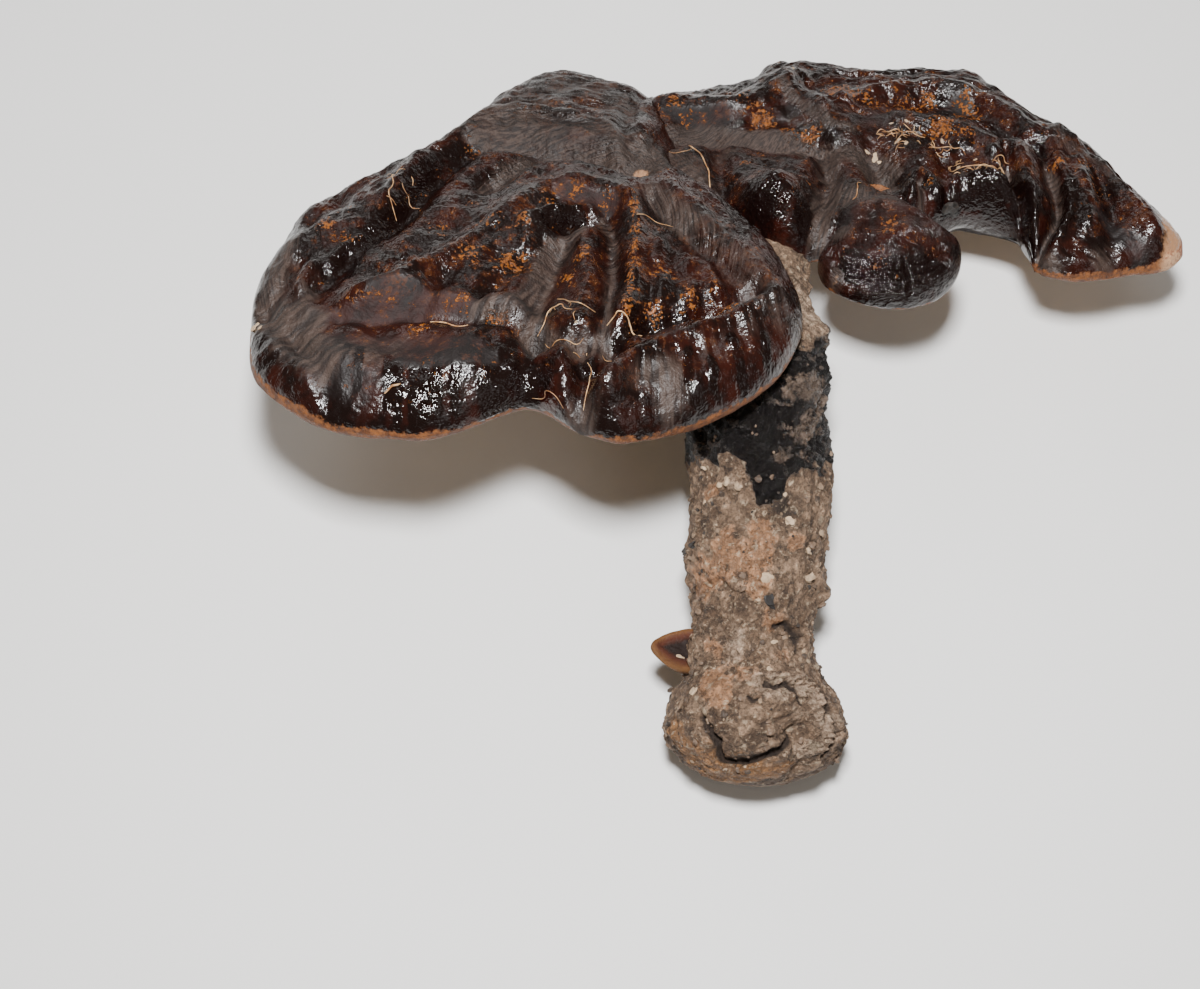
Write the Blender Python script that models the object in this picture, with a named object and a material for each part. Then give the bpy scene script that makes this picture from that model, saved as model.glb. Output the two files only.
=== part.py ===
"""A stalked lacquered bracket fungus, picked and lying on its side.

The body rests on the swollen foot of its stem and on the rear rims of its two main caps.
World frame: origin on the surface under the foot, +X to the right along the caps, +Y from the
foot towards the caps, +Z up. All the shape values below are millimetres.
"""
import math

import bmesh
import bpy
from mathutils import Vector, noise

MM = 0.001

COLLECTION = "lacquered_bracket"
CUTTERS = "lacquered_bracket_cutters"

# Gap left between two pieces that grow into each other.
CLEARANCE = 0.45

# The slab that cuts the rest patches flat at the surface.
TABLE_SIZE = 500.0
TABLE_DEPTH = 60.0
TABLE_CENTRE = (0.0, 100.0)

# Share of the rings that lie on the upper face of a cap.
UPPER_SHARE = 0.62
# How much the rings crowd towards the rim.
RIM_CROWDING = 0.6
# Width of the rolled rim, as a multiple of its height.
ROLL_WIDTH = 1.15
# Share of the relief that is left at the very edge.
RIM_RELIEF = 0.35
# Straight pieces that stand for the outline when the distance to the rim is measured.
OUTLINE_PIECES = 180

# Growth lumps common to all the skin: wavelength and height, coarse first.
SKIN_LUMPS = ((23.0, 1.5), (10.0, 0.7))

# The underside is smoother than the skin, and its lumps lie elsewhere.
UNDERSIDE_SHARE = 0.5
UNDERSIDE_SHIFT = 40.0

# Each cap is a lobed disc that leans back by its tilt. Its dome rises from the roll height at the rim
# to the crown, over a half length and half width; edge and belly are the same for the underside.
# turns: where the segments of the mesh stand: even degrees, then degrees round the hub.
# outline, seen square to the cap: degrees from +X, then radius. lift: rise of the rim off its plane.
# pulls: where the disc is drawn aside: place, shift, radius.
# strokes, its ridges and grooves: height, half width, then the line they follow across the cap.
# spots, its single dents and knobs, and under, swellings of the underside: place, height, radius.
# soften: how far the relief is spread, and lowered to match, so that the mesh can carry it.

# The large cap on the left.
LARGE = dict(
    segments=64, rings=26, hub=(-54.4, 131.7, 43.2), tilt=29.0, dome=(98.0, 92.0),
    crown=16.0, roll=9.0, belly=10.0, edge=4.5, soften=3.2,
    turns=((0, 0), (360, 360)),
    outline=(
        (5, 50), (19, 44), (38, 43), (52, 55), (66, 70), (77, 77), (89, 82), (96, 80), (106, 71), (119, 56),
        (132, 50), (143, 50), (152, 55), (166, 62), (175, 71), (185, 77), (191, 81), (199, 87), (207, 92),
        (218, 100), (225, 101), (235, 99), (242, 95), (249, 91), (256, 83), (263, 75), (267, 76), (272, 82),
        (279, 88), (286, 88), (296, 87), (305, 86), (312, 85), (321, 81), (328, 77), (339, 67), (351, 58),
    ),
    lift=((20, 0), (90, 0), (150, 1), (215, -1), (245, -2), (265, 1), (290, -2), (325, 1)),
    pulls=(),
    strokes=(
        # the rear lobe, and the long hollow band round its foot
        (3.0, 9.0, ((13, 30), (0, 42), (-18, 45), (-33, 32))),
        (-6.0, 5.0, ((11, 23), (-1, 26), (-13, 29), (-25, 28), (-31, 19), (-36, 10), (-42, -3), (-49, -13),
                     (-55, -21), (-61, -31), (-65, -41))),
        (3.2, 4.6, ((-40, 17), (-45, 3), (-52, -16), (-60, -26), (-65, -42))),
        # the arch beside the sunken middle, and the swollen field before it
        (4.5, 6.0, ((15, -2), (6, 2), (-4, 1), (-11, -8), (-18, -20), (-28, -30), (-38, -38), (-48, -46))),
        (-4.0, 4.6, ((20, 15), (14, 18), (6, 22), (-5, 22), (-13, 15), (-20, 6))),
        (4.0, 5.0, ((-7, -24), (0, -20), (7, -21))),
        # valleys and folds from the middle to the front
        (-4.2, 4.8, ((7, -12), (2, -17), (-1, -28), (-3, -39), (-5, -50), (-6, -60))),
        (-3.2, 4.4, ((13, -7), (14, -16), (15, -28), (15, -38), (13, -52), (12, -61))),
        (4.0, 4.6, ((20, -6), (21, -22), (21, -32), (20, -43), (17, -58))),
        (-3.0, 5.0, ((26, -4), (36, -21), (46, -36))),
        (3.4, 5.5, ((30, 2), (38, -13), (48, -28), (57, -44))),
        # the crease that sets off the front margin
        (-3.4, 4.4, ((-62, -51), (-49, -52), (-33, -51), (-18, -54), (-9, -57), (-3, -60), (6, -62))),
        (-4.4, 4.4, ((11, -71), (14, -64), (18, -59), (24, -54), (34, -50), (44, -46), (52, -42))),
        (4.0, 4.6, ((12, -80), (16, -74), (21, -69), (28, -64), (37, -59), (48, -53), (57, -48))),
        (-4.5, 4.4, ((6, -62), (6, -68), (7, -76), (6, -84))),
        (-4.2, 5.0, ((-6, -74), (-7, -68), (-5, -60))),
        (3.4, 6.5, ((-62, -68), (-45, -72), (-26, -71))),
        (-2.2, 4.4, ((-79, -37), (-73, -51), (-66, -60), (-61, -68), (-57, -80))),
    ),
    spots=((22, 19, -5.0, 7.5), (31, -75, 1.8, 8.0), (-24, -36, 2.5, 7.0), (-50, -38, 2.0, 7.0)),
    under=((2, 70, -4.5, 13.0),),
)

# The right cap, drawn out into a long lobe at its right end. Its segments crowd where the outline
# turns sharply, between the notch and the right tip.
RIGHT = dict(
    segments=64, rings=22, hub=(42.8, 169.6, 20.4), tilt=27.0, dome=(92.0, 56.0),
    crown=13.5, roll=8.5, belly=9.0, edge=4.0, soften=3.0,
    turns=((0, 0), (45, 60), (115, 140), (175, 200), (245, 285), (263, 298), (292, 310), (325, 330),
           (345, 346), (360, 360)),
    outline=(
        (5, 54), (13, 48), (35, 44), (47, 46), (64, 44), (79, 41), (94, 38), (106, 40), (115, 45), (122, 53),
        (129, 55), (140, 53), (149, 58), (155, 70), (162, 79), (175, 84), (185, 84), (195, 76), (205, 70),
        (214, 65), (227, 62), (236, 59), (246, 52), (257, 45), (272, 41), (288, 38), (299, 38), (305, 40.5),
        (307.6, 45), (309, 61), (310.5, 71), (314, 77), (320, 82), (326, 89), (331, 90), (336, 84), (344, 71),
        (356, 61),
    ),
    lift=((20, 0), (90, 0), (180, 1), (230, 0), (290, 2), (300, 2), (310, -1), (331, -2)),
    pulls=((44, -52, -6.5, -1.5, 9.5), (27.5, -36.5, 4.0, 0.5, 6.0)),
    strokes=(
        (-5.5, 4.4, ((-71, -6), (-64, -4), (-52, -2), (-39, -7), (-28, -8), (-20, -13), (-21, -23),
                     (-23, -34), (-27, -45))),
        (3.2, 5.0, ((-65, 12), (-56, 10), (-46, 9), (-37, 15), (-30, 18), (-23, 8), (-18, -1), (-11, -8))),
        (3.2, 4.6, ((-13, 10), (-2, 15), (11, 20), (22, 16), (31, 8), (38, -4))),
        (-3.0, 4.4, ((-9, 10), (3, 12), (17, 11), (29, 5), (37, -9))),
        (3.2, 4.6, ((1, -1), (14, -3), (25, -10), (30, -18))),
        (-4.5, 4.4, ((-9, -9), (-6, -18), (-3, -28))),
        (-4.8, 4.0, ((15, -16), (15, -27), (13, -38))),
        (-4.2, 4.0, ((32, -13), (34, -26), (32, -38))),
        (4.2, 4.2, ((36, -10), (39, -24), (39, -34), (36, -43))),
        (-4.2, 3.8, ((45, -7), (48, -17), (48, -29), (46, -39), (41, -52))),
        (3.4, 4.0, ((50, -22), (51, -36), (50, -49))),
        (3.2, 4.6, ((48, -4), (58, -17), (64, -32), (68, -46))),
        (-3.8, 4.2, ((-52, -7), (-52, -21), (-50, -34), (-46, -43))),
    ),
    spots=(
        (-37, -38, 10.0, 10.5), (-31, 23, 4.0, 5.5), (-6, -22, -3.5, 6.5), (4, -37, 6.5, 6.0),
        (23, -31, 7.0, 6.5), (-14, -38, -2.0, 6.0), (-56, -22, 1.5, 6.0),
    ),
    under=(),
)

# The small front lobe under the right cap.
SMALL = dict(
    segments=30, rings=16, hub=(37.2, 122.5, 48.0), tilt=14.0, dome=(24.0, 26.0),
    crown=9.5, roll=6.5, belly=5.0, edge=3.0, soften=1.5,
    turns=((0, 0), (360, 360)),
    outline=(
        (5, 20), (19, 20), (42, 18), (60, 19), (75, 25), (92, 30), (112, 29), (128, 23), (145, 18), (160, 18),
        (181, 20), (203, 20.5), (225, 18), (245, 16.5), (270, 16), (290, 16.5), (310, 17.5), (333, 18.5),
    ),
    lift=((90, 0), (270, 0)),
    pulls=(),
    strokes=((-1.2, 2.5, ((-15, -7), (-6, -11), (4, -12), (13, -8))),),
    spots=(),
    under=(),
)

# The ear-like bud on the left of the stem.
BUD = dict(
    segments=18, rings=12, hub=(-21.5, 16.5, 26.5), tilt=8.0, dome=(9.0, 8.0),
    crown=2.0, roll=2.6, belly=3.6, edge=2.2, soften=0.0,
    turns=((0, 0), (360, 360)),
    outline=((0, 9), (45, 8), (90, 6.5), (135, 7), (175, 7.8), (225, 6), (270, 6), (315, 7.5)),
    lift=((90, 1), (180, 1), (270, 0)),
    pulls=(),
    strokes=(),
    spots=((1, 1, -1.6, 3.0),),
    under=(),
)

# The stem rises from the foot at this slope; its stations are measured in its own frame:
# along, sideways (+X), upward, radius.
STEM_SEGMENTS = 34
STEM_RINGS = 34
STEM_SLOPE = 17.0
# How much the rings crowd at the two rounded ends.
STEM_END_CROWDING = 0.07
# Radius from which the skin has its whole relief.
STEM_FULL_SKIN = 10.0
STEM_ORIGIN = (0.0, 0.0, 22.0)
STEM_STATIONS = (
    (-19.5, -0.3, -4.5, 0.0), (-18.5, -0.4, -4.5, 8.0), (-16, -0.6, -4, 15.0), (-12, -1, -2.5, 20.5),
    (-5, -1.8, -0.5, 24.2), (4, -2, 0.5, 22.8), (12, -2.2, 0, 18.4), (20, -2.1, -1, 16.8),
    (31, -1.2, -2, 17.2), (42, -1.1, -2, 18.2), (58, 0, -3, 18.7), (72, -0.3, -3, 19.0),
    (86, 0, -3.5, 18.6), (99, 0.5, -6, 16.6), (110, 1.5, -11, 14.0), (122, 3, -18.5, 12.5),
    (132, 6, -26, 10.5), (140, 9, -32, 7.0), (144, 10, -35, 0.0),
)
# Lumps and hollows of the stem: along, degrees round from +X over the top, height, radius.
STEM_SPOTS = (
    (-2, 62, -2.5, 8.0), (-12, 95, 1.5, 7.0), (-4, 125, 2.0, 9.0), (-5, 15, 1.5, 8.0), (33, 5, 2.5, 4.5),
    (26, 0, -2.0, 5.0), (44, 175, 1.8, 6.0), (62, 10, 1.5, 8.0), (78, 120, 2.0, 8.0), (95, 55, 2.0, 7.0),
    (104, 20, 3.0, 5.0), (52, 75, -1.2, 8.0), (8, 175, -1.5, 5.0),
)
STEM_GROOVES = ((-1.8, 3.2, ((-1, 128), (-8, 115), (-13, 112), (-12, 80), (-9, 62))),)
STEM_LUMPS = ((14.0, 1.5), (6.5, 0.7))

# Material colours, linear.
LACQUER = (0.040, 0.010, 0.006, 1.0)
LACQUER_RED = (0.055, 0.013, 0.007, 1.0)
LACQUER_BLACK = (0.022, 0.009, 0.007, 1.0)
EARTH_CRUST = (0.22, 0.15, 0.10, 1.0)
BUD_BROWN = (0.28, 0.10, 0.04, 1.0)
# Roughness of the lacquer and of the dull pieces, and how much clear coat the lacquer has.
GLOSSY = 0.22
DULL = 0.85
LACQUER_COAT = 0.6


def clear_scene():
    for item in list(bpy.data.objects):
        bpy.data.objects.remove(item, do_unlink=True)


def new_collection(name):
    group = bpy.data.collections.new(name)
    bpy.context.scene.collection.children.link(group)
    return group


def make_material(name, colour, roughness, coat):
    material = bpy.data.materials.new(name)
    material.use_nodes = True
    shader = material.node_tree.nodes["Principled BSDF"]
    shader.inputs["Base Color"].default_value = colour
    shader.inputs["Roughness"].default_value = roughness
    shader.inputs["Coat Weight"].default_value = coat
    material.diffuse_color = colour
    return material


def smooth_value(points, x, column=1):
    """Value of a smooth curve through the points, whose first entry is the place along it."""
    last = len(points) - 1
    if x <= points[0][0]:
        return float(points[0][column])
    if x >= points[last][0]:
        return float(points[last][column])
    i = 0
    while points[i + 1][0] < x:
        i += 1
    before, start, end, after = points[max(i - 1, 0)], points[i], points[i + 1], points[min(i + 2, last)]
    span = end[0] - start[0]
    slope_start = (end[column] - before[column]) / (end[0] - before[0])
    slope_end = (after[column] - start[column]) / (after[0] - start[0])
    t = (x - start[0]) / span
    return ((2 * t ** 3 - 3 * t ** 2 + 1) * start[column] + (t ** 3 - 2 * t ** 2 + t) * span * slope_start
            + (3 * t ** 2 - 2 * t ** 3) * end[column] + (t ** 3 - t ** 2) * span * slope_end)


def smooth_around(points, degrees):
    """The same for a closed ring of (degrees, value) points."""
    ring = [(angle - 360, value) for angle, value in points]
    ring += list(points)
    ring += [(angle + 360, value) for angle, value in points]
    return smooth_value(ring, degrees % 360)


def distance_to_line(a, b, line):
    """Shortest distance from a place to a line drawn through several points."""
    nearest = 1e9
    for (a0, b0), (a1, b1) in zip(line, line[1:]):
        da, db = a1 - a0, b1 - b0
        t = ((a - a0) * da + (b - b0) * db) / (da * da + db * db)
        t = min(max(t, 0.0), 1.0)
        nearest = min(nearest, math.hypot(a - a0 - t * da, b - b0 - t * db))
    return nearest


def relief(a, b, strokes, spots, soften):
    """Height of the ridges, grooves, knobs and dents at a place."""
    height = 0.0
    for rise, width, line in strokes:
        spread = math.hypot(width, soften)
        height += rise * width / spread * math.exp(-(distance_to_line(a, b, line) / spread) ** 2)
    for spot_a, spot_b, rise, radius in spots:
        spread = math.hypot(radius, soften)
        fall = math.exp(-((a - spot_a) ** 2 + (b - spot_b) ** 2) / spread ** 2)
        height += rise * (radius / spread) ** 2 * fall
    return height


def lumps(point, layers):
    """Uneven growth of the skin at a place in space."""
    height = 0.0
    for wavelength, rise in layers:
        height += rise * noise.noise(point / wavelength * 2.0)
    return height


def drawn_aside(a, b, pulls):
    """A place of the disc after it has been drawn aside by the pulls."""
    shift_a, shift_b = 0.0, 0.0
    for near_a, near_b, pull_a, pull_b, radius in pulls:
        hold = math.exp(-((a - near_a) ** 2 + (b - near_b) ** 2) / radius ** 2)
        shift_a += pull_a * hold
        shift_b += pull_b * hold
    return a + shift_a, b + shift_b


def cap_place(cap):
    """A placing function for a cap: a lobed disc with a rolled rim, leaning back by its tilt."""
    lean = math.radians(cap["tilt"])
    across = Vector((1.0, 0.0, 0.0))
    back = Vector((0.0, math.cos(lean), -math.sin(lean)))
    square = Vector((0.0, math.sin(lean), math.cos(lean)))
    middle = Vector(cap["hub"])
    roll, edge = cap["roll"], cap["edge"]
    ring = []
    for i in range(OUTLINE_PIECES + 1):
        degrees = 360.0 * i / OUTLINE_PIECES
        reach = smooth_around(cap["outline"], degrees)
        ring.append((reach * math.cos(math.radians(degrees)), reach * math.sin(math.radians(degrees))))

    def place(turn, down):
        degrees = smooth_value(cap["turns"], math.degrees(turn) % 360)
        angle = math.radians(degrees)
        upper = down <= UPPER_SHARE
        part = down / UPPER_SHARE if upper else (1.0 - down) / (1.0 - UPPER_SHARE)
        share = (1 - RIM_CROWDING) * part + RIM_CROWDING * math.sin(part * math.pi / 2)
        reach = share * smooth_around(cap["outline"], degrees)
        a, b = reach * math.cos(angle), reach * math.sin(angle)
        inward = min(1.0, distance_to_line(a, b, ring) / (ROLL_WIDTH * roll)) if share < 1 else 0.0
        rounding = math.sqrt(1 - (1 - inward) ** 2)
        bulge = max(0.0, 1 - (a / cap["dome"][0]) ** 2 - (b / cap["dome"][1]) ** 2)
        flat_place = middle + across * a + back * b
        height = smooth_around(cap["lift"], degrees) * share ** 2
        if upper:
            kept = min(1.0, RIM_RELIEF + rounding)
            height += (roll + (cap["crown"] - roll) * bulge) * rounding
            height += relief(a, b, cap["strokes"], cap["spots"], cap["soften"]) * kept
            height += lumps(flat_place, SKIN_LUMPS) * kept
        else:
            height -= (edge + (cap["belly"] - edge) * bulge) * rounding
            height += relief(a, b, (), cap["under"], cap["soften"])
            height += UNDERSIDE_SHARE * lumps(flat_place + square * UNDERSIDE_SHIFT, SKIN_LUMPS)
        a, b = drawn_aside(a, b, cap["pulls"])
        return middle + across * a + back * b + square * height

    return place


def stem_place(turn, down):
    """Placing function of the stem; its poles are the two ends of the spine."""
    slope = math.radians(STEM_SLOPE)
    forward = Vector((0.0, math.cos(slope), math.sin(slope)))
    upward = Vector((0.0, -math.sin(slope), math.cos(slope)))
    sideways = Vector((1.0, 0.0, 0.0))
    first, last = STEM_STATIONS[0][0], STEM_STATIONS[-1][0]
    share = down - STEM_END_CROWDING * math.sin(2 * math.pi * down)
    along = first + (last - first) * share
    side = smooth_value(STEM_STATIONS, along, 1)
    rise = smooth_value(STEM_STATIONS, along, 2)
    radius = max(0.0, smooth_value(STEM_STATIONS, along, 3))
    degrees = math.degrees(turn) % 360
    spine = Vector(STEM_ORIGIN) + forward * along + sideways * side + upward * rise
    outward = sideways * math.cos(turn) + upward * math.sin(turn)
    skin = 0.0
    for spot_along, spot_degrees, height, size in STEM_SPOTS:
        gap = abs(degrees - spot_degrees)
        arc = math.radians(min(gap, 360 - gap)) * radius
        skin += height * math.exp(-((along - spot_along) ** 2 + arc ** 2) / size ** 2)
    for height, width, line in STEM_GROOVES:
        drawn = tuple((line_along, math.radians(angle) * radius) for line_along, angle in line)
        if radius > 1.0:
            gap = distance_to_line(along, math.radians(degrees) * radius, drawn)
            skin += height * math.exp(-(gap / width) ** 2)
    ending = min(1.0, radius / STEM_FULL_SKIN)
    skin += lumps(spine + outward * radius, STEM_LUMPS)
    return spine + outward * (radius + skin * ending)


def grow(name, segments, rings, place, group):
    """A closed body: a UV sphere whose points are moved by the placing function."""
    body = bmesh.new()
    bmesh.ops.create_uvsphere(body, u_segments=segments, v_segments=rings, radius=1.0)
    for point in body.verts:
        turn = math.atan2(point.co.y, point.co.x)
        down = math.acos(min(1.0, max(-1.0, point.co.z))) / math.pi
        point.co = place(turn, down) * MM
    mesh = bpy.data.meshes.new(name)
    body.to_mesh(mesh)
    body.free()
    made = bpy.data.objects.new(name, mesh)
    group.objects.link(made)
    for face in made.data.polygons:
        face.use_smooth = True
    return made


def grow_cap(name, cap, colour, group):
    """One of the three lacquered caps, in its own material."""
    made = grow(name, cap["segments"], cap["rings"], cap_place(cap), group)
    made.data.materials.append(make_material(name, colour, GLOSSY, LACQUER_COAT))
    return made


def swollen_copy(piece, group):
    """A cutter a little larger than the piece, so that the neighbour cut by it keeps a gap."""
    copy = bpy.data.objects.new(piece.name + "_clearance", piece.data.copy())
    group.objects.link(copy)
    swell = copy.modifiers.new("swell", "DISPLACE")
    swell.strength = CLEARANCE * MM
    swell.mid_level = 0.0
    return as_cutter(copy)


def as_cutter(item):
    item.hide_render = True
    item.display_type = "WIRE"
    return item


def table_cutter(group):
    """The slab under the surface."""
    box = bmesh.new()
    bmesh.ops.create_cube(box, size=1.0)
    for point in box.verts:
        point.co.x = (TABLE_CENTRE[0] + point.co.x * TABLE_SIZE) * MM
        point.co.y = (TABLE_CENTRE[1] + point.co.y * TABLE_SIZE) * MM
        point.co.z = (point.co.z - 0.5) * TABLE_DEPTH * MM
    mesh = bpy.data.meshes.new("table")
    box.to_mesh(mesh)
    box.free()
    made = bpy.data.objects.new("table", mesh)
    group.objects.link(made)
    return as_cutter(made)


def cut(piece, cutter):
    """Takes the cutter away from the piece."""
    step = piece.modifiers.new("less " + cutter.name, "BOOLEAN")
    step.operation = "DIFFERENCE"
    step.solver = "EXACT"
    step.object = cutter


def build():
    clear_scene()
    group = new_collection(COLLECTION)
    cutters = new_collection(CUTTERS)

    large = grow_cap("cap_large", LARGE, LACQUER_RED, group)
    right = grow_cap("cap_right", RIGHT, LACQUER, group)
    small = grow_cap("cap_small", SMALL, LACQUER_BLACK, group)
    stem = grow("stem", STEM_SEGMENTS, STEM_RINGS, stem_place, group)
    stem.data.materials.append(make_material("stem", EARTH_CRUST, DULL, 0.0))
    bud = grow("bud", BUD["segments"], BUD["rings"], cap_place(BUD), group)
    bud.data.materials.append(make_material("bud", BUD_BROWN, DULL, 0.0))

    large_room = swollen_copy(large, cutters)
    right_room = swollen_copy(right, cutters)
    small_room = swollen_copy(small, cutters)
    stem_room = swollen_copy(stem, cutters)
    table = table_cutter(cutters)

    cut(right, large_room)
    for room in (large_room, right_room):
        cut(small, room)
    for room in (large_room, right_room, small_room):
        cut(stem, room)
    cut(bud, stem_room)
    for piece in (large, right, stem):
        cut(piece, table)


build()
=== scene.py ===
"""The lacquered bracket fungus, dressed: fine relief, lacquer, dust with some painted sheen, soil crust and
loose rootlets.

Shape values are millimetres in each piece's own plane, as in the part's source. A cap's places are
measured from its hub: to the right, then up the cap away from the viewer.
"""
import functools
import math
import random

import bmesh
import bpy
import numpy as np
from mathutils import Matrix, Vector, noise


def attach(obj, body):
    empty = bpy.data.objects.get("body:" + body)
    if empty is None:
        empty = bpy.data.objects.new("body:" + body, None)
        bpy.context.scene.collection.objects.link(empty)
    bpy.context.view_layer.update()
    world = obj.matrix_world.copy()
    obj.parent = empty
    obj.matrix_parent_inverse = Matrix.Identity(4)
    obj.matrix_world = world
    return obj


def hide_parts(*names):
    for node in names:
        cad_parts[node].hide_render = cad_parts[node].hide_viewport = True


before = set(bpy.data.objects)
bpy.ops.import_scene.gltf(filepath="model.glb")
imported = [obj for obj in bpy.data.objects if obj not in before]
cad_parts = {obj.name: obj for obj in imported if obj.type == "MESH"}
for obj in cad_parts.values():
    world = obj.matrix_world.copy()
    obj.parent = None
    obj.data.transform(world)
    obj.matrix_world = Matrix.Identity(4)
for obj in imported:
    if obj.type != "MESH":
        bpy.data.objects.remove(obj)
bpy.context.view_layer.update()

MM = 0.001

# Camera and lights, in metres; a light is its name, place, size and watts.
CAMERA_PLACE = (-0.0432, -0.1468, 0.5995)
CAMERA_AIM = (-0.0432, 0.0714, 0.0)
CAMERA_LENS = 66.0
LIGHTS = (
    ("key_light", (-0.045, 0.0, 0.70), 0.085, 11.0),
    ("fill_light", (0.5, -0.5, 0.8), 0.5, 0.9),
    ("back_light", (-0.3, 0.9, 0.7), 0.5, 1.8),
)
LIGHT_AIM = (0.0, 0.1, 0.03)
ROOM_LIGHT = 0.16
ROOM_COLOUR = (1.0, 0.90, 0.76, 1.0)
FLOOR_SIZE = 6.0

# Growth lumps common to all the skin: wavelength and height, coarse first.
SKIN_LUMPS = ((23.0, 1.5), (10.0, 0.7))
# Share of the rings that lie on the upper face of a cap, and how much they crowd at the rim.
UPPER_SHARE = 0.70
RIM_CROWDING = 0.6
# Width of the rolled rim, as a multiple of its height, and the relief left at the very edge.
ROLL_WIDTH = 1.15
RIM_RELIEF = 0.35
OUTLINE_PIECES = 180
CURVE_STEPS = 721
# Growth lines are counted by the share of the way to the rim, and by the distance from the centre.
GROWN_SHARE = 55.0
GROWN_AWAY = 0.35
# How far the lines wander, how finely they break up round the centre, and how close they lie behind it.
LINE_WANDER = 4.0
LINE_SPLIT = 9.0
ARC_SPACING = 1.3
# The lines turn into arcs from this far before the growth centre, over this width.
BEHIND_FROM, BEHIND_WIDTH = 6.0, 14.0
# Pleats of the front margin: how finely they split round the centre, and how slowly they change outwards.
PLEAT_SPLIT = 60.0
PLEAT_DRIFT = 0.14
# The front line between pleats and growth lines: how far it strays, and how softly it turns.
FRONT_STRAY = 6.0
FRONT_EASE = 3.5
# Layers of noise: height, size, shift.
PLEAT_LAYERS = ((0.8, 9.0, 5.0), (0.8, 4.4, 2.0), (0.9, 2.4, 6.0))
LINE_LAYERS = ((0.7, 6.5, 3.0), (0.45, 3.0, 9.0))
PEEL_LAYERS = ((1.0, 6.0, 4.0), (0.7, 3.0, 1.0), (0.35, 1.9, 6.0))
PEEL_SHARE = 0.55
# Growth lines fade this near the centre, and ripples this near the rim.
LINES_FADE = 16.0
RIPPLE_HEIGHT, RIPPLE_RATE, RIPPLE_FADE = 0.16, 1.5, 14.0
# The underside's own lumps are read this far from those of the top, and are this share of them.
UNDER_SHIFT, UNDER_SHARE = 40.0, 0.5
# Heights of carving that the finish reads as a full hollow or crest.
FULL_CARVING = 4.0
# A cap whose points are spread evenly, with nothing drawn aside and nothing added underneath.
PLAIN_CAP = dict(turns=((0, 0), (360, 360)), pulls=(), under=())
# Points of a rolled-up grid nearer than this are one point.
WELD = 1e-6
# A skin's points round it, and from its top to its underside.
LOBE_MESH = (600, 160)
SMALL_MESH = (240, 110)
BUD_MESH = (120, 70)
STEM_MESH = (300, 330)


def beads(height, radius, places, shift=0.0):
    """Spots of one size, each moved up the cap by the shift."""
    return tuple((a, b + shift, height, radius) for a, b in places)


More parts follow.
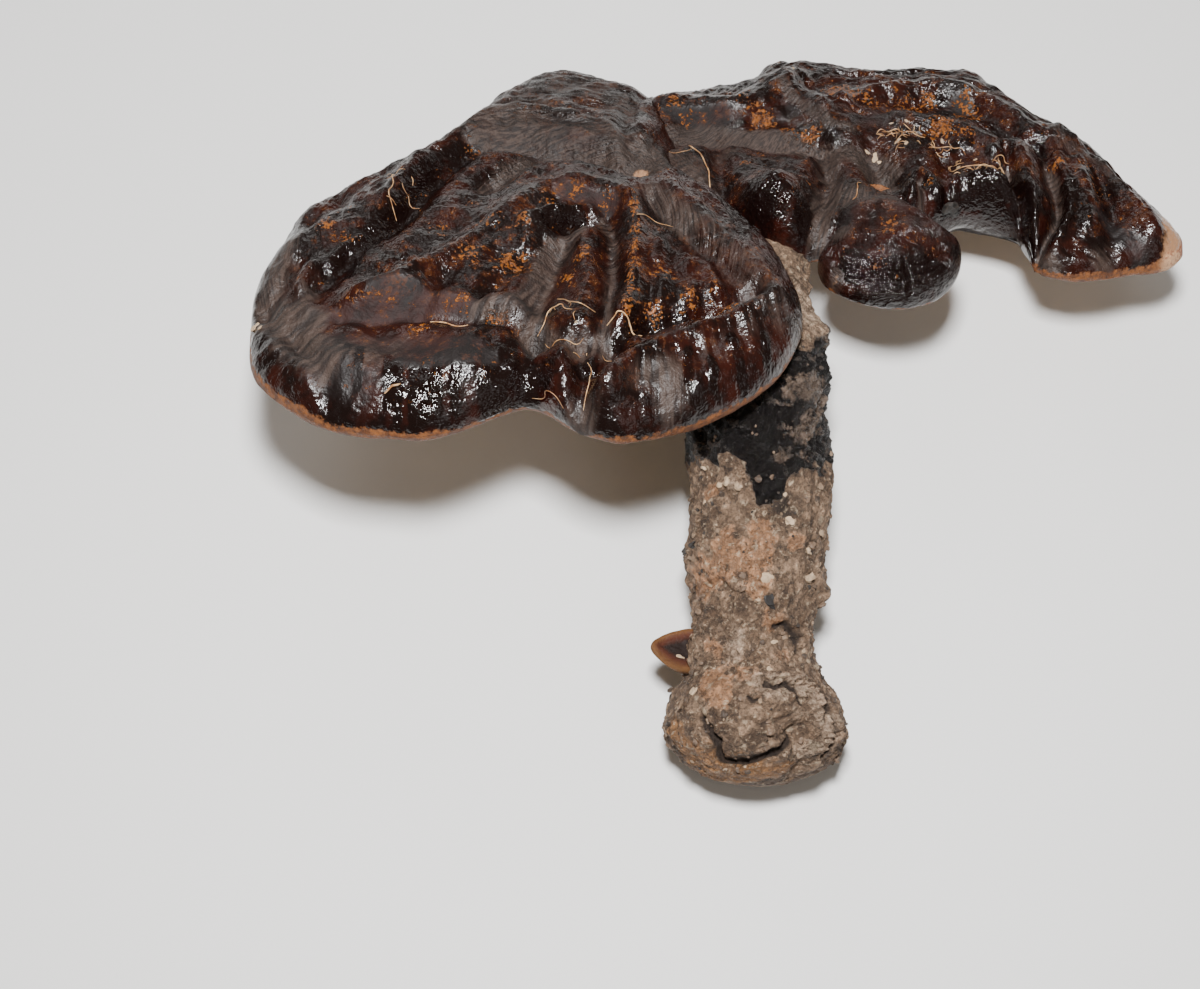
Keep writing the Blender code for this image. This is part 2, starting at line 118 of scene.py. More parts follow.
# A stroke is (height, half width, line); a spot is (right, back, height, radius); a pull draws the
# disc aside and is (right, back, shift right, shift back, radius). Streaks run out from the centre
# before the front line, and along the rim behind it.
LARGE = dict(
    PLAIN_CAP,
    hub=(-54.4, 131.7, 43.2), tilt=29.0, dome=(98.0, 92.0), crown=16.0, roll=9.0, belly=10.0, edge=4.5,
    outline=(
        (5, 50), (19, 44), (38, 43), (52, 55), (66, 70), (77, 77), (89, 82), (96, 80), (106, 71), (119, 56),
        (132, 50), (143, 50), (152, 55), (166, 62), (175, 71), (185, 77), (191, 81), (199, 87), (207, 92),
        (218, 100), (225, 101), (235, 99), (242, 95), (249, 91), (256, 83), (263, 75), (267, 76), (272, 82),
        (279, 88), (286, 88), (296, 87), (305, 86), (312, 85), (321, 81), (328, 77), (339, 67), (351, 58),
    ),
    lift=((20, 0), (90, 0), (150, 1), (215, -1), (245, -2), (265, 1), (290, -2), (325, 1)),
    strokes=(
        # the rear lobe, and the long hollow band round its foot
        (3.0, 9.0, ((13, 30), (0, 42), (-18, 45), (-33, 32))),
        (-6.0, 4.6, ((11, 23), (-1, 26), (-13, 29), (-25, 28), (-31, 19), (-36, 10), (-42, -3), (-49, -13),
                     (-55, -21), (-61, -31), (-65, -41))),
        (3.2, 4.0, ((-40, 17), (-45, 3), (-52, -16), (-60, -26), (-65, -42))),
        # the arch beside the sunken middle, and the swollen field before it
        (4.5, 5.5, ((15, -2), (6, 2), (-4, 1), (-11, -8), (-18, -20), (-28, -30), (-38, -38), (-48, -46))),
        (-4.0, 3.6, ((20, 15), (14, 18), (6, 22), (-5, 22), (-13, 15), (-20, 6))),
        (4.0, 4.5, ((-7, -24), (0, -20), (7, -21))),
        (1.6, 2.0, ((-8, -17), (-3, -13.2), (1, -12.4), (6, -10.5))),
        (3.0, 2.3, ((-9, -18.5), (-6, -16.8), (-2.9, -14.1), (1.1, -12), (5.5, -9.6), (9, -9))),
        # dusty valleys from the middle to the front
        (-4.2, 4.2, ((7, -12), (2, -17), (-1, -28), (-3, -39), (-5, -50), (-6, -60))),
        (-2.2, 2.8, ((13, -7), (15, -16), (14, -28), (15.5, -38), (13, -52), (12, -61))),
        (2.5, 3.4, ((7, -28), (8, -40), (7, -50), (6, -59))),
        (4.0, 3.6, ((20, -6), (21, -22), (21, -32), (20, -43), (17, -58))),
        (2.0, 2.6, ((27, -26), (28, -40), (27, -50))),
        (1.8, 2.6, ((34, -30), (35, -43), (34, -51))),
        (2.0, 2.6, ((39, -31), (42, -42), (45, -50))),
        (-3.0, 4.6, ((26, -4), (36, -21), (46, -36))),
        (3.4, 5.0, ((30, 2), (38, -13), (48, -28), (57, -44))),
        # the crease that sets off the front margin
        (-2.6, 2.6, ((-56, -51), (-53, -51), (-49, -52), (-41, -51), (-33, -51), (-25, -53), (-18, -54),
                     (-9, -57), (-3, -60), (6, -62))),
        (2.4, 3.4, ((-53, -45), (-41, -44), (-28, -46), (-14, -48), (-8, -52))),
        (-4.6, 2.6, ((11, -71), (14, -64), (18, -59), (24, -54), (34, -50), (44, -46), (52, -42))),
        (4.0, 3.4, ((12, -80), (16, -74), (21, -69), (28, -64), (37, -59), (48, -53), (57, -48))),
        (-4.5, 3.2, ((6, -62), (6, -68), (7, -76), (6, -84))),
        (-4.2, 4.6, ((-6, -74), (-7, -68), (-5, -60))),
        (2.4, 3.6, ((0, -68), (0, -76), (0, -82))),
        (3.4, 6.5, ((-62, -68), (-45, -72), (-26, -71))),
        (-2.4, 2.6, ((-16, -18), (-24, -28), (-31, -41), (-36, -50))),
        (-2.4, 2.6, ((-5, -24), (-13, -38), (-20, -46))),
        (-2.4, 2.8, ((-79, -37), (-73, -51), (-66, -60), (-61, -68), (-57, -80))),
        (-2.4, 2.8, ((-70, -25), (-73, -35), (-77, -43))),
        (2.2, 2.6, ((-66, -30), (-68, -37), (-65, -46))),
        (-1.5, 2.4, ((-44, 20), (-57, 6), (-68, -8))),
        # pleats behind the sunken middle
        (-2.0, 2.4, ((20, 26), (18, 36), (20, 48), (24, 60))),
        (-1.6, 2.2, ((26, 24), (28, 34), (33, 44))),
        (-1.5, 2.4, ((12, 31), (2, 37), (-10, 40), (-24, 36))),
        (-1.2, 1.8, ((10, 40), (-4, 47), (-18, 49))),
    ),
    spots=(
        (22, 19, -5.0, 7.0), (31, -75, 1.8, 8.0), (-24, -36, 2.0, 7.0), (-13, -38, 1.0, 4.0),
        (20.1, -62, 1.4, 1.6), (17, -61, 1.3, 1.5), (45.3, -62.6, 2.2, 1.8), (46, -65, 1.6, 1.6),
        (53.9, -60, 1.3, 1.5), (39.8, -71.2, 1.0, 1.5), (33.7, -67.4, 1.6, 1.7), (36.4, -75, 1.0, 1.5),
    ) + beads(1.3, 1.3, (
        (-5, -18.2), (-2.9, -15.8), (-0.9, -14.6), (1.1, -13.7), (3.3, -12.5), (5.5, -11.3),
    ), 0.8) + beads(2.1, 1.5, (
        (-61.4, -29.7), (-60.4, -26.9), (-58.9, -24.8), (-57.1, -22.5), (-55.2, -20.3), (-53.4, -18.1),
    ), 1.0) + beads(1.6, 1.3, (
        (-44, -30), (-41, -28.5), (-38.5, -31.5), (-42.5, -33.5), (-39.2, -35), (-45, -35), (-37.5, -38),
        (-42, -38),
    )) + beads(1.0, 1.4, (
        (-53.2, -70.8), (-49.7, -72.7), (-44.9, -77.8), (-42, -75.4), (-39.6, -80.3), (-35.8, -82.9),
        (-32.8, -78.8), (-30.2, -80.8), (-29.1, -75.3), (-25.5, -79.5), (-25, -74.3), (-17.1, -74.2),
        (-11.6, -70.8), (-10.3, -62.6), (-6.7, -70.6), (1.8, -69.9), (2.6, -73.5), (3.3, -76.7),
        (9.3, -70.1),
    ), 0.7),
    under=((2, 70, -4.5, 13.0),),
    centre=(22, 20), rear=(0, -10), front=-38.0, ribs=0.75, rib_zone=20.0, wrinkle=0.55,
)
RIGHT = dict(
    PLAIN_CAP,
    hub=(42.8, 169.6, 20.4), tilt=27.0, dome=(92.0, 56.0), crown=13.5, roll=8.5, belly=9.0, edge=4.0,
    turns=((0, 0), (45, 60), (115, 140), (175, 200), (245, 285), (263, 298), (292, 310), (325, 330),
           (345, 346), (360, 360)),
    outline=(
        (5, 54), (13, 48), (35, 44), (47, 46), (64, 44), (79, 41), (94, 38), (106, 40), (115, 45),
        (122, 53), (129, 55), (140, 53), (148, 56), (153, 64), (159, 71), (165, 79), (175, 84), (185, 84),
        (195, 76), (205, 70), (214, 65), (227, 62), (236, 59), (246, 52), (257, 45), (272, 41), (288, 38),
        (299, 38), (305, 40.5), (307.6, 45), (309, 61), (310.5, 71), (314, 77), (320, 82), (326, 89),
        (331, 90), (336, 84), (344, 71), (356, 61),
    ),
    pulls=((44, -52, -6.5, -1.5, 9.5), (27.5, -36.5, 4.0, 0.5, 6.0)),
    lift=((20, 0), (90, 0), (180, 1), (230, 0), (290, 2), (300, 2), (310, -1), (331, -2)),
    strokes=(
        (-5.5, 3.8, ((-71, -6), (-64, -4), (-52, -2), (-39, -7), (-28, -8), (-20, -13), (-21, -23),
                     (-23, -34), (-27, -45))),
        (3.0, 4.6, ((-65, 12), (-56, 10), (-46, 9), (-37, 15), (-30, 18), (-23, 8), (-18, -1), (-11, -8))),
        (-2.2, 3.4, ((-60, 3), (-46, 3), (-32, 1))),
        (3.0, 4.2, ((-13, 10), (-2, 15), (11, 20), (22, 16), (31, 8), (38, -4))),
        (-3.0, 3.6, ((-9, 10), (3, 12), (17, 11), (29, 5), (37, -9))),
        (3.0, 4.2, ((1, -1), (14, -3), (25, -10), (30, -18))),
        (-4.5, 4.2, ((-9, -9), (-6, -18), (-3, -28))),
        (-3.0, 3.0, ((14, -16), (13, -24))),
        # broad lacquered ribs of the right lobe, with narrow dusty creases between them
        (-3.8, 1.9, ((31, -14), (30.5, -24), (30, -31), (30, -38))),
        (4.0, 3.9, ((34, -12), (35, -24), (35.5, -36), (36, -48))),
        (-3.6, 1.9, ((41, -9), (42, -20), (43.5, -29), (44, -38), (42, -49), (39.5, -58))),
        (2.4, 2.0, ((45.5, -16), (46.6, -30), (47.2, -42), (45.5, -54))),
        (2.8, 2.8, ((50.5, -18), (52, -32), (52.5, -45))),
        (-1.6, 2.2, ((55, -12), (57, -26), (58, -40), (57, -54))),
        (3.0, 4.2, ((48, -4), (58, -17), (64, -32), (68, -46))),
        (-1.2, 0.9, ((52, -4), (59, -15), (64, -27), (67.5, -38))),
        (-3.8, 3.4, ((-52, -7), (-52, -21), (-50, -34), (-46, -43))),
        (-1.8, 2.6, ((-40, -13), (-28, -14))),
        (1.6, 2.2, ((-21, 6), (-19, -6), (-18, -18))),
        (-1.6, 2.0, ((-2, 6), (8, 7), (18, 4))),
        # fingers of lacquer that ran down over the front, and the notch in the rear bump
        (2.2, 1.7, ((-4, -27), (0, -28), (1.5, -33), (1, -40))),
        (2.6, 1.8, ((5, -26), (8, -30), (9.6, -35), (10.3, -41), (11, -45))),
        (-2.4, 2.0, ((4.5, -31), (5, -37), (5, -43))),
        (1.8, 1.5, ((14.5, -28), (14, -38))),
        (-1.8, 1.2, ((-28, 38), (-26, 44), (-25, 50))),
        (-1.0, 1.0, ((-24, 22), (-20, 14), (-15, 8), (-9, 4))),
        (-0.9, 0.9, ((-18, 30), (-10, 27), (0, 29), (12, 31))),
        (-0.9, 0.9, ((2, 24), (12, 26), (24, 22), (34, 12))),
    ),
    spots=(
        (-37, -38, 10.0, 10.5), (-31, 23, 4.0, 5.0), (-6, -22, -3.5, 6.5), (4, -37, 5.0, 5.8),
        (23, -31, 7.0, 6.3), (-14, -38, -2.0, 6.0), (-25, 25, 1.8, 3.0), (-37, 22, 1.8, 3.0),
        (-56, -22, 1.5, 6.0), (-56, 27, -2.2, 3.6), (17.5, -12.2, 1.3, 2.0), (19.2, -12.2, 1.0, 1.6),
        (26.1, -16.5, 1.3, 1.7), (41.2, -8.2, 1.4, 1.7), (41.5, -16.6, 1.6, 1.6), (8.4, -9.3, 0.8, 1.2),
        (2.3, -5.1, 0.9, 1.3), (20, -29.5, 0.9, 1.4), (25.3, -31.5, 1.2, 1.5), (27.9, -29.8, 1.2, 1.5),
        (-44.9, 3.4, 1.0, 1.8), (-40.6, -38.5, 1.0, 1.5), (-37.7, -43, 1.2, 1.6), (-42.5, -40, 0.9, 1.4),
        (-43.5, -36, 0.8, 1.2), (-38.2, -36.2, 0.8, 1.2), (-39.4, -41.2, 0.8, 1.1), (-36, -39.8, 0.8, 1.2),
        (-40, -33.8, 0.7, 1.2), (-35.5, -44, 0.7, 1.1), (-22, -25, 1.2, 1.6), (-32.8, -42.3, 1.0, 1.5),
        (33.4, -32.4, 1.8, 1.7), (34.2, -35.5, 1.8, 1.7), (35, -39.6, 1.8, 1.8), (35.9, -42.6, 1.4, 1.6),
        (45.8, -34, 1.7, 1.5), (46.3, -38, 1.7, 1.5), (46.5, -42.3, 1.7, 1.5), (46.5, -46.6, 1.1, 1.4),
        (49.1, -33.3, 1.1, 1.6), (50.3, -37, 1.5, 1.6), (50.8, -40, 1.6, 1.6), (51.4, -43.5, 1.4, 1.6),
    ),
    centre=(-5, -2), rear=(5, -25), front=-22.0, ribs=0.35, rib_zone=15.0, wrinkle=0.6,
)
SMALL = dict(
    PLAIN_CAP,
    hub=(37.2, 122.5, 48.0), tilt=14.0, dome=(24.0, 26.0), crown=9.5, roll=6.5, belly=5.0, edge=3.0,
    outline=(
        (5, 20), (19, 20), (42, 18), (60, 19), (75, 25), (92, 30), (112, 29), (128, 23), (145, 18),
        (160, 18), (181, 20), (203, 20.5), (225, 18), (245, 16.5), (270, 16), (290, 16.5), (310, 17.5),
        (333, 18.5),
    ),
    lift=((90, 0), (270, 0)),
    strokes=(
        (-1.9, 1.2, ((-17, -2), (-12, -6), (-5, -8), (1, -8), (8, -6), (14, -1))),
        (-1.9, 1.1, ((-16, -6), (-12, -9), (-5, -11), (1, -11), (8, -9), (14, -5))),
        (-0.8, 0.9, ((-17, -8), (-12, -11.5), (-5, -13.5), (1, -13.5), (9, -11), (15, -6))),
        (1.2, 1.5, ((3, -7), (5, -12), (6, -16))),
        (-1.2, 1.4, ((1, -7), (2, -12), (3, -16))),
        (-0.8, 1.5, ((-15, -1), (-9, -4), (-3, -6))),
        (0.8, 2.5, ((-10, 5), (-4, 2), (4, 3), (11, 5))),
        (1.2, 2.6, ((-13, 12), (-9, 13.4), (-2.6, 14.9), (4.2, 12.7), (12.9, 8.3))),
        (-9.0, 7.5, ((-17, 25), (-3, 29), (12, 26))),
    ),
    spots=((-15, -8, 0.8, 2.5), (1.2, -10.8, 1.2, 1.3), (3.9, -13, 0.9, 1.2), (-1.8, -10, 0.6, 1.2)),
    centre=(-3, 14), rear=(-3, 0), front=-40.0, ribs=0.05, rib_zone=8.0, wrinkle=0.30,
)
BUD = dict(
    PLAIN_CAP,
    hub=(-21.5, 16.5, 26.5), tilt=8.0, dome=(9.0, 8.0), crown=2.0, roll=2.6, belly=3.6, edge=2.2,
    outline=((0, 9), (45, 8), (90, 6), (120, 6), (145, 6.8), (165, 8), (178, 8), (205, 6.2), (235, 5.4),
             (270, 5.8), (315, 7.5)),
    lift=((90, 1), (180, 1), (270, 0)),
    strokes=((-0.5, 0.7, ((-5, -2), (-3, -4), (1, -4.5))), (-0.4, 0.6, ((-5.5, 1), (-4, 3), (-1, 4)))),
    spots=((1, 1, -1.6, 3.0),),
    centre=(5, 0), rear=(5, -2), front=-20.0, ribs=0.1, rib_zone=3.0, wrinkle=0.2,
)

# Finish marks on each cap: bright rust worn through, dust (in places painted sheen), clean gloss, dull skin,
# pale spots and bare rim.
# Each has its strokes and then its spots, as the relief has. A rim value below zero is charred.
LARGE_PAINTS = dict(
    rust=(
        ((1.0, 1.5, ((20.7, -6.7), (20.6, -10.5), (20.5, -20.9), (20.5, -30.6), (19.5, -39.4), (19, -49.5),
                     (17.8, -55))),
         (0.35, 1.6, ((-60, -47), (-45, -48), (-30, -49))),
         (0.5, 1.4, ((-12, -56), (-4, -59), (8, -62))),
         (1.1, 1.6, ((-18, -52), (-14, -54.3))),
         (0.35, 2.0, ((20, -60), (34, -54), (46, -48)))),
        ((-23.8, -4.4, 1.0, 2.8), (-32.1, -17.2, 1.0, 3.2), (-23.4, -30.2, 1.1, 3.6), (-12, -32, 1.3, 4.4),
         (-3.1, -6.9, 1.0, 3.0), (2.9, -37.3, 1.1, 2.6), (6.9, -31.6, 1.0, 2.6), (-10.1, -18.9, 0.9, 3.0),
         (-18.3, -16.3, 0.9, 3.0), (28.2, -37.9, 1.0, 3.0), (24.9, -50.5, 1.0, 3.0),
         (34.3, -46.1, 0.9, 2.8), (-63.5, -11.9, 0.9, 3.0), (-57.8, -17.7, 0.9, 3.0),
         (-34.9, -55.1, 0.6, 3.0), (-24.2, -48.4, 0.7, 3.0), (-8.8, 20.7, 0.6, 3.0), (4.3, -2.6, 0.8, 2.6),
         (12.5, -6.1, 0.9, 2.4), (-57.6, -4.9, 0.6, 3.0), (41, -43, 0.7, 2.6), (45, -51, 0.8, 2.8),
         (-26, 30, 0.4, 3.0), (-12, 41, 0.5, 3.6), (-1, 48, 0.5, 3.0)),
    ),
    dust=(
        ((0.55, 8.0, ((-24, 34), (-12, 36), (0, 33), (14, 30), (24, 23))),
         (0.55, 15.0, ((-16, 46), (-4, 58), (8, 66), (16, 50))),
         (1.0, 5.0, ((-74, -18), (-77, -36), (-74, -50), (-66, -58), (-57, -69))),
         (0.9, 3.5, ((-64, -31), (-66, -39), (-68, -46))),
         (0.8, 7.0, ((-68, -60), (-60, -66), (-50, -68), (-42, -66))),
         # painted sheen: a grey streak along the right front margin, where light glances off it
         (0.45, 5.0, ((14, -79), (26, -74), (38, -67), (48, -58))),
         (1.0, 3.6, ((20, 15), (14, 18), (6, 22), (-5, 22), (-13, 15), (-20, 6))),
         (1.2, 3.4, ((7, -17), (3, -22), (-1, -25), (-3, -30), (-5, -38), (-8, -46), (-14, -51),
                     (-20, -50))),
         (0.8, 3.0, ((-8, -46), (-6, -54), (-5, -60))),
         (0.7, 2.0, ((11.7, -10.6), (14.1, -18.9), (14.9, -27.2), (14, -38.9), (13.6, -51.2),
                     (11.6, -60.2))),
         (0.6, 7.0, ((38, -14), (48, -30), (57, -50))),
         (0.8, 4.0, ((-6, -56), (-3, -61), (11, -63))),
         (0.8, 4.0, ((25, -74), (31, -76), (29, -80))),
         (0.9, 4.0, ((24.9, 1.3), (29, -4.9), (33, -14)))),
        ((22, 19, 1.2, 8.0), (6, -84, 0.7, 5.0), (-63, -50, 1.0, 4.0)),
    ),
    gloss=(
        ((1.4, 3.6, ((-27, 26), (-32.6, 19.5), (-38.8, 9.5), (-41.7, 0.6), (-44.6, -6.6), (-48.9, -12.9),
                     (-55.2, -20.3), (-58.9, -24.8), (-61.4, -29.7), (-63.5, -34))),
         (1.4, 2.2, ((-6, -18), (-2.9, -15.8), (1.1, -13.7), (5.5, -11.3))),
         (1.0, 4.0, ((-16, -76), (-8, -72), (2, -72), (8, -70))),
         (1.2, 2.0, ((16, -61), (24, -54), (33, -50))),
         (1.2, 1.6, ((45, -61), (46.8, -67), (48, -70))),
         (1.2, 1.4, ((53.8, -58), (54, -64))),
         (1.1, 1.4, ((39.8, -68), (39.8, -74))),
         (1.1, 1.4, ((33.7, -66), (33.6, -75)))) + tuple(
            (1.2, 1.2, ((a, b), (a, b - 12))) for a, b in (
                (-53.3, -64), (-49.8, -65), (-42.4, -69), (-39.6, -71), (-35.8, -73), (-32.8, -71),
                (-29.6, -70), (-25.3, -69), (-17, -66), (-11, -61), (-6.7, -62))),
        ((-18, -44, 0.6, 7.0),),
    ),
    dull=(
        ((1.0, 3.4, ((1, -2), (8, -5), (14, -7))),
         (0.9, 4.0, ((-46, -46), (-38, -46), (-30, -48), (-22, -50))),
         (1.0, 2.4, ((-56, -50), (-46, -51), (-36, -49.5))),
         (1.1, 5.0, ((-56, -62), (-44, -63), (-32, -64), (-22, -66))),
         (1.1, 2.6, ((-38, -70.5), (-30, -71.5), (-22, -70.5), (-17, -69.5))),
         (0.8, 8.0, ((-22, 33), (-8, 34), (8, 31))),
         (0.7, 7.0, ((-60, -70), (-48, -76)))),
        ((-63, -50, 1.0, 5.0), (12.5, -56, 0.8, 3.0), (-9, -50, 0.7, 3.0), (28, -60, 0.6, 7.0),
         (50, -46, 0.6, 8.0)),
    ),
    pale=((), ((22.8, 18.4, 1.6, 2.4),)),
    rim=(
        ((1.0, 9.0, ((-86, -34), (-78, -58), (-66, -74), (-50, -84), (-30, -88))),
         (0.9, 6.0, ((-88, -40), (-83, -54), (-75, -66), (-68, -74))),
         (0.7, 9.0, ((16, -88), (34, -80), (52, -66), (62, -54)))),
        (),
    ),
)
RIGHT_PAINTS = dict(
    rust=(
        ((0.8, 2.2, ((-40, 5), (-36, 2), (-31, -3), (-24, -5))),
         (0.35, 2.4, ((-66, 11), (-60, 5)))),
        ((-65, 10, 0.5, 3.0), (-60, 5.3, 0.5, 2.8), (-43.2, 9.2, 1.1, 2.8), (-37.5, 4.1, 1.2, 3.2),
         (-24.4, -4.8, 0.9, 2.4), (-15.6, 16.5, 1.0, 4.6), (-11.6, 14.2, 1.0, 4.2), (-5.5, 9.7, 1.0, 3.2),
         (5.1, 9.3, 1.1, 5.2), (12, 14, 0.9, 3.0), (21.6, 12, 0.9, 2.6), (9.4, -7.2, 0.9, 2.4),
         (14, -6, 1.2, 3.4), (12.6, -3, 1.1, 3.0), (19.8, -9.1, 1.0, 3.0), (23.5, 6.3, 1.0, 4.6),
         (44.9, -20.2, 1.2, 1.8), (56, -29.2, 0.7, 3.0), (-40.3, -12, 0.9, 1.6), (-45.1, -19.1, 0.8, 2.2),
         (-27.4, -28.9, 0.8, 1.8), (6.8, -31, 0.7, 2.4), (-32, 37, 0.7, 2.4), (54, -22, 0.5, 3.0)),
    ),
    dust=(
        ((1.0, 4.0, ((-20, -14), (-21, -26), (-24, -38), (-25, -46))),
         (1.0, 3.8, ((-13, -14), (-10, -18), (-7, -20), (-3, -22), (-3, -29))),
         (1.1, 3.0, ((-68, -2), (-61, 0.3), (-53.2, 1), (-45, -2.2), (-37.8, -3.9), (-30, -6), (-24, -12))),
         (0.8, 6.0, ((-70, -10), (-62, -16), (-57, -29))),
         (0.9, 2.2, ((-31.7, 17), (-29.3, 10.8), (-24, 3.7), (-19.5, -4.5), (-13.3, -5.7))),
         (0.9, 1.2, ((30.3, -22.7), (30.6, -27.1), (30.3, -33.1))),
         (1.1, 1.4, ((41, -12), (41.5, -18.9), (43.7, -24.8), (44.7, -33.5), (42.8, -47.5), (40.9, -54))),
         # painted sheen: a grey streak along the back ridge, where light glances off it
         (0.6, 3.0, ((30.6, 16.9), (37.1, 6.2), (43.2, 5.7), (49.1, -11.3), (57, -17), (61, -26.4))),
         (0.5, 3.0, ((4, 4), (18, 2), (28, -5))),
         (0.9, 1.6, ((4.5, -30), (4, -37), (4, -43)))),
        ((-76, -4, 0.9, 7.0), (-14, -34, 0.9, 6.0), (42.6, -53, 1.1, 2.4), (46.4, -54, 0.8, 3.0),
         (55.2, -52, 0.7, 4.0), (-34, 40, 0.6, 4.0), (-48, -12, 0.6, 5.0), (-7, -17, 0.8, 5.0)),
    ),
    gloss=(
        ((1.2, 5.0, ((-42, -38), (-38, -42), (-31, -42))),
         (1.3, 4.6, ((18, -29), (22, -29), (28, -30))),
         (1.1, 3.0, ((33, -28), (34.5, -37), (36, -46))),
         (1.1, 1.6, ((45, -30), (46.2, -40), (46.4, -48))),
         (1.1, 1.8, ((47.5, -28), (49.5, -35), (51.5, -45))),
         (1.2, 2.0, ((0, -24), (0.6, -30), (0.5, -40))),
         (1.2, 2.0, ((6.5, -31), (9.3, -35.6), (10.8, -40))),
         (1.1, 1.8, ((16, -12.5), (20.5, -12.5))),
         (1.1, 1.8, ((41.4, -7), (41.6, -19)))),
        ((26.1, -17, 1.1, 2.2), (-30, 6.4, 0.8, 4.0), (-23.2, -18.2, 0.8, 4.0), (-37.7, -20, 0.8, 5.0),
         (-22, -26, 0.9, 2.4), (-44.9, 2.7, 1.0, 1.8), (2.4, -5.8, 1.0, 1.6), (8.4, -9.8, 1.0, 1.5),
         (14, -33, 1.0, 2.0)),
    ),
    dull=(
        ((1.1, 3.2, ((-66, 6), (-58, 5), (-50, 5))),
         (1.1, 3.0, ((-60, -1), (-45, -3), (-30, -6))),
         (0.7, 4.0, ((55, -40), (60, -46), (64, -50)))),
        ((20, 10, 0.9, 5.0), (-2, 8, 0.6, 4.0), (-8, -14, 0.7, 5.0), (-12, -34, 0.9, 6.0)),
    ),
    pale=((), ((78, -41, 1.4, 8.0), (74, -51, 0.7, 4.5), (-31.7, 37.5, 0.7, 1.8))),
    rim=(((1.0, 7.0, ((42, -54), (50, -57), (60, -55), (68, -50))),
          (-1.5, 6.5, ((-8, -47), (0, -43), (8, -39), (16, -36), (22, -33), (29, -33), (32, -38)))), ()),
)
SMALL_PAINTS = dict(
    rust=(((0.4, 1.6, ((-10, 2), (-5, 4))), (0.4, 1.4, ((4, 0), (10, -1)))),
          ((-0.3, 6.4, 1.1, 2.0), (-2.2, 2, 1.1, 2.0), (-3.4, -2.6, 0.9, 1.8))),
    dust=(((1.3, 5.5, ((-16, 19), (-8, 21), (0, 22), (12, 18))),
           (0.6, 1.0, ((-16, -7), (-11, -10), (-5, -12)))),
          ((-15.8, -9.6, 0.9, 3.0), (-14, 5, 0.8, 4.0))),
    gloss=(((1.3, 3.2, ((-12, -7), (-8, -12), (-2.7, -14.4), (4, -14), (12, -9))),
            (1.2, 2.6, ((-12, -4), (-2, -8), (8, -7)))), ()),
    pale=((), ((-15.8, -9.6, 0.7, 1.6),)),
    rim=((), ()),
)

# The stem rises from its foot at this slope; stations are along, sideways, upward, radius.
STEM_SLOPE = 17.0
STEM_ORIGIN = (0.0, 0.0, 22.0)
STEM_END_CROWDING = 0.07
STEM_FULL_SKIN = 10.0
STEM_STATIONS = (
    (-19.5, -0.3, -4.5, 0.0), (-18.5, -0.4, -4.5, 8.0), (-16, -0.6, -4, 15.0), (-12, -1, -2.5, 20.5),
    (-5, -1.8, -0.5, 24.2), (4, -2, 0.5, 22.8), (12, -2.2, 0, 18.4), (20, -2.1, -1, 16.8),
    (31, -1.2, -2, 17.2), (42, -1.1, -2, 18.2), (58, 0, -3, 18.7), (72, -0.3, -3, 19.0),
    (86, 0, -3.5, 18.6), (99, 0.5, -6, 16.6), (110, 1.5, -11, 14.0), (122, 3, -18.5, 12.5),
    (132, 6, -26, 10.5), (140, 9, -32, 7.0), (144, 10, -35, 0.0),
)
# Lumps and hollows: along, degrees round from +X over the top, height, radius.
STEM_SPOTS = (
    (-2, 62, -2.5, 8.0), (-12, 95, 1.5, 7.0), (-4, 125, 2.0, 9.0), (-5, 15, 1.5, 8.0), (33, 5, 2.5, 4.5),
    (26, 0, -2.0, 5.0), (44, 175, 0.8, 6.0), (62, 10, 1.5, 8.0), (78, 120, 2.0, 8.0), (95, 55, 2.0, 7.0),
    (104, 20, 3.0, 5.0), (52, 75, -1.2, 8.0), (8, 175, -1.5, 5.0),
    (70, 96, 1.8, 3.5), (64, 88, 1.4, 3.0), (62, 114, 0.9, 3.0), (105, 32, 2.6, 4.0), (21, 60, -1.2, 4.0),
    (25, 58, 1.2, 3.0), (33, 18, 1.5, 3.0), (8, 125, 0.8, 5.0), (86, 60, 2.2, 5.0), (92, 30, 1.8, 5.0),
    (78, 40, -1.8, 5.0), (80, 75, -1.8, 4.0), (-10, 70, 1.4, 5.0), (-3, 45, 1.4, 5.0), (4, 60, 1.0, 4.0),
    (32.5, 24, 1.6, 3.2), (21, 34, 1.6, 3.0), (-12.5, 58, -3.0, 2.6), (62, 116, 1.2, 1.8),
    (96, 40, -1.6, 1.6), (79, 50, 1.6, 5.0), (69, 92, 1.6, 3.0), (64, 92, 1.4, 2.2), (59, 84, 1.2, 2.4),
)
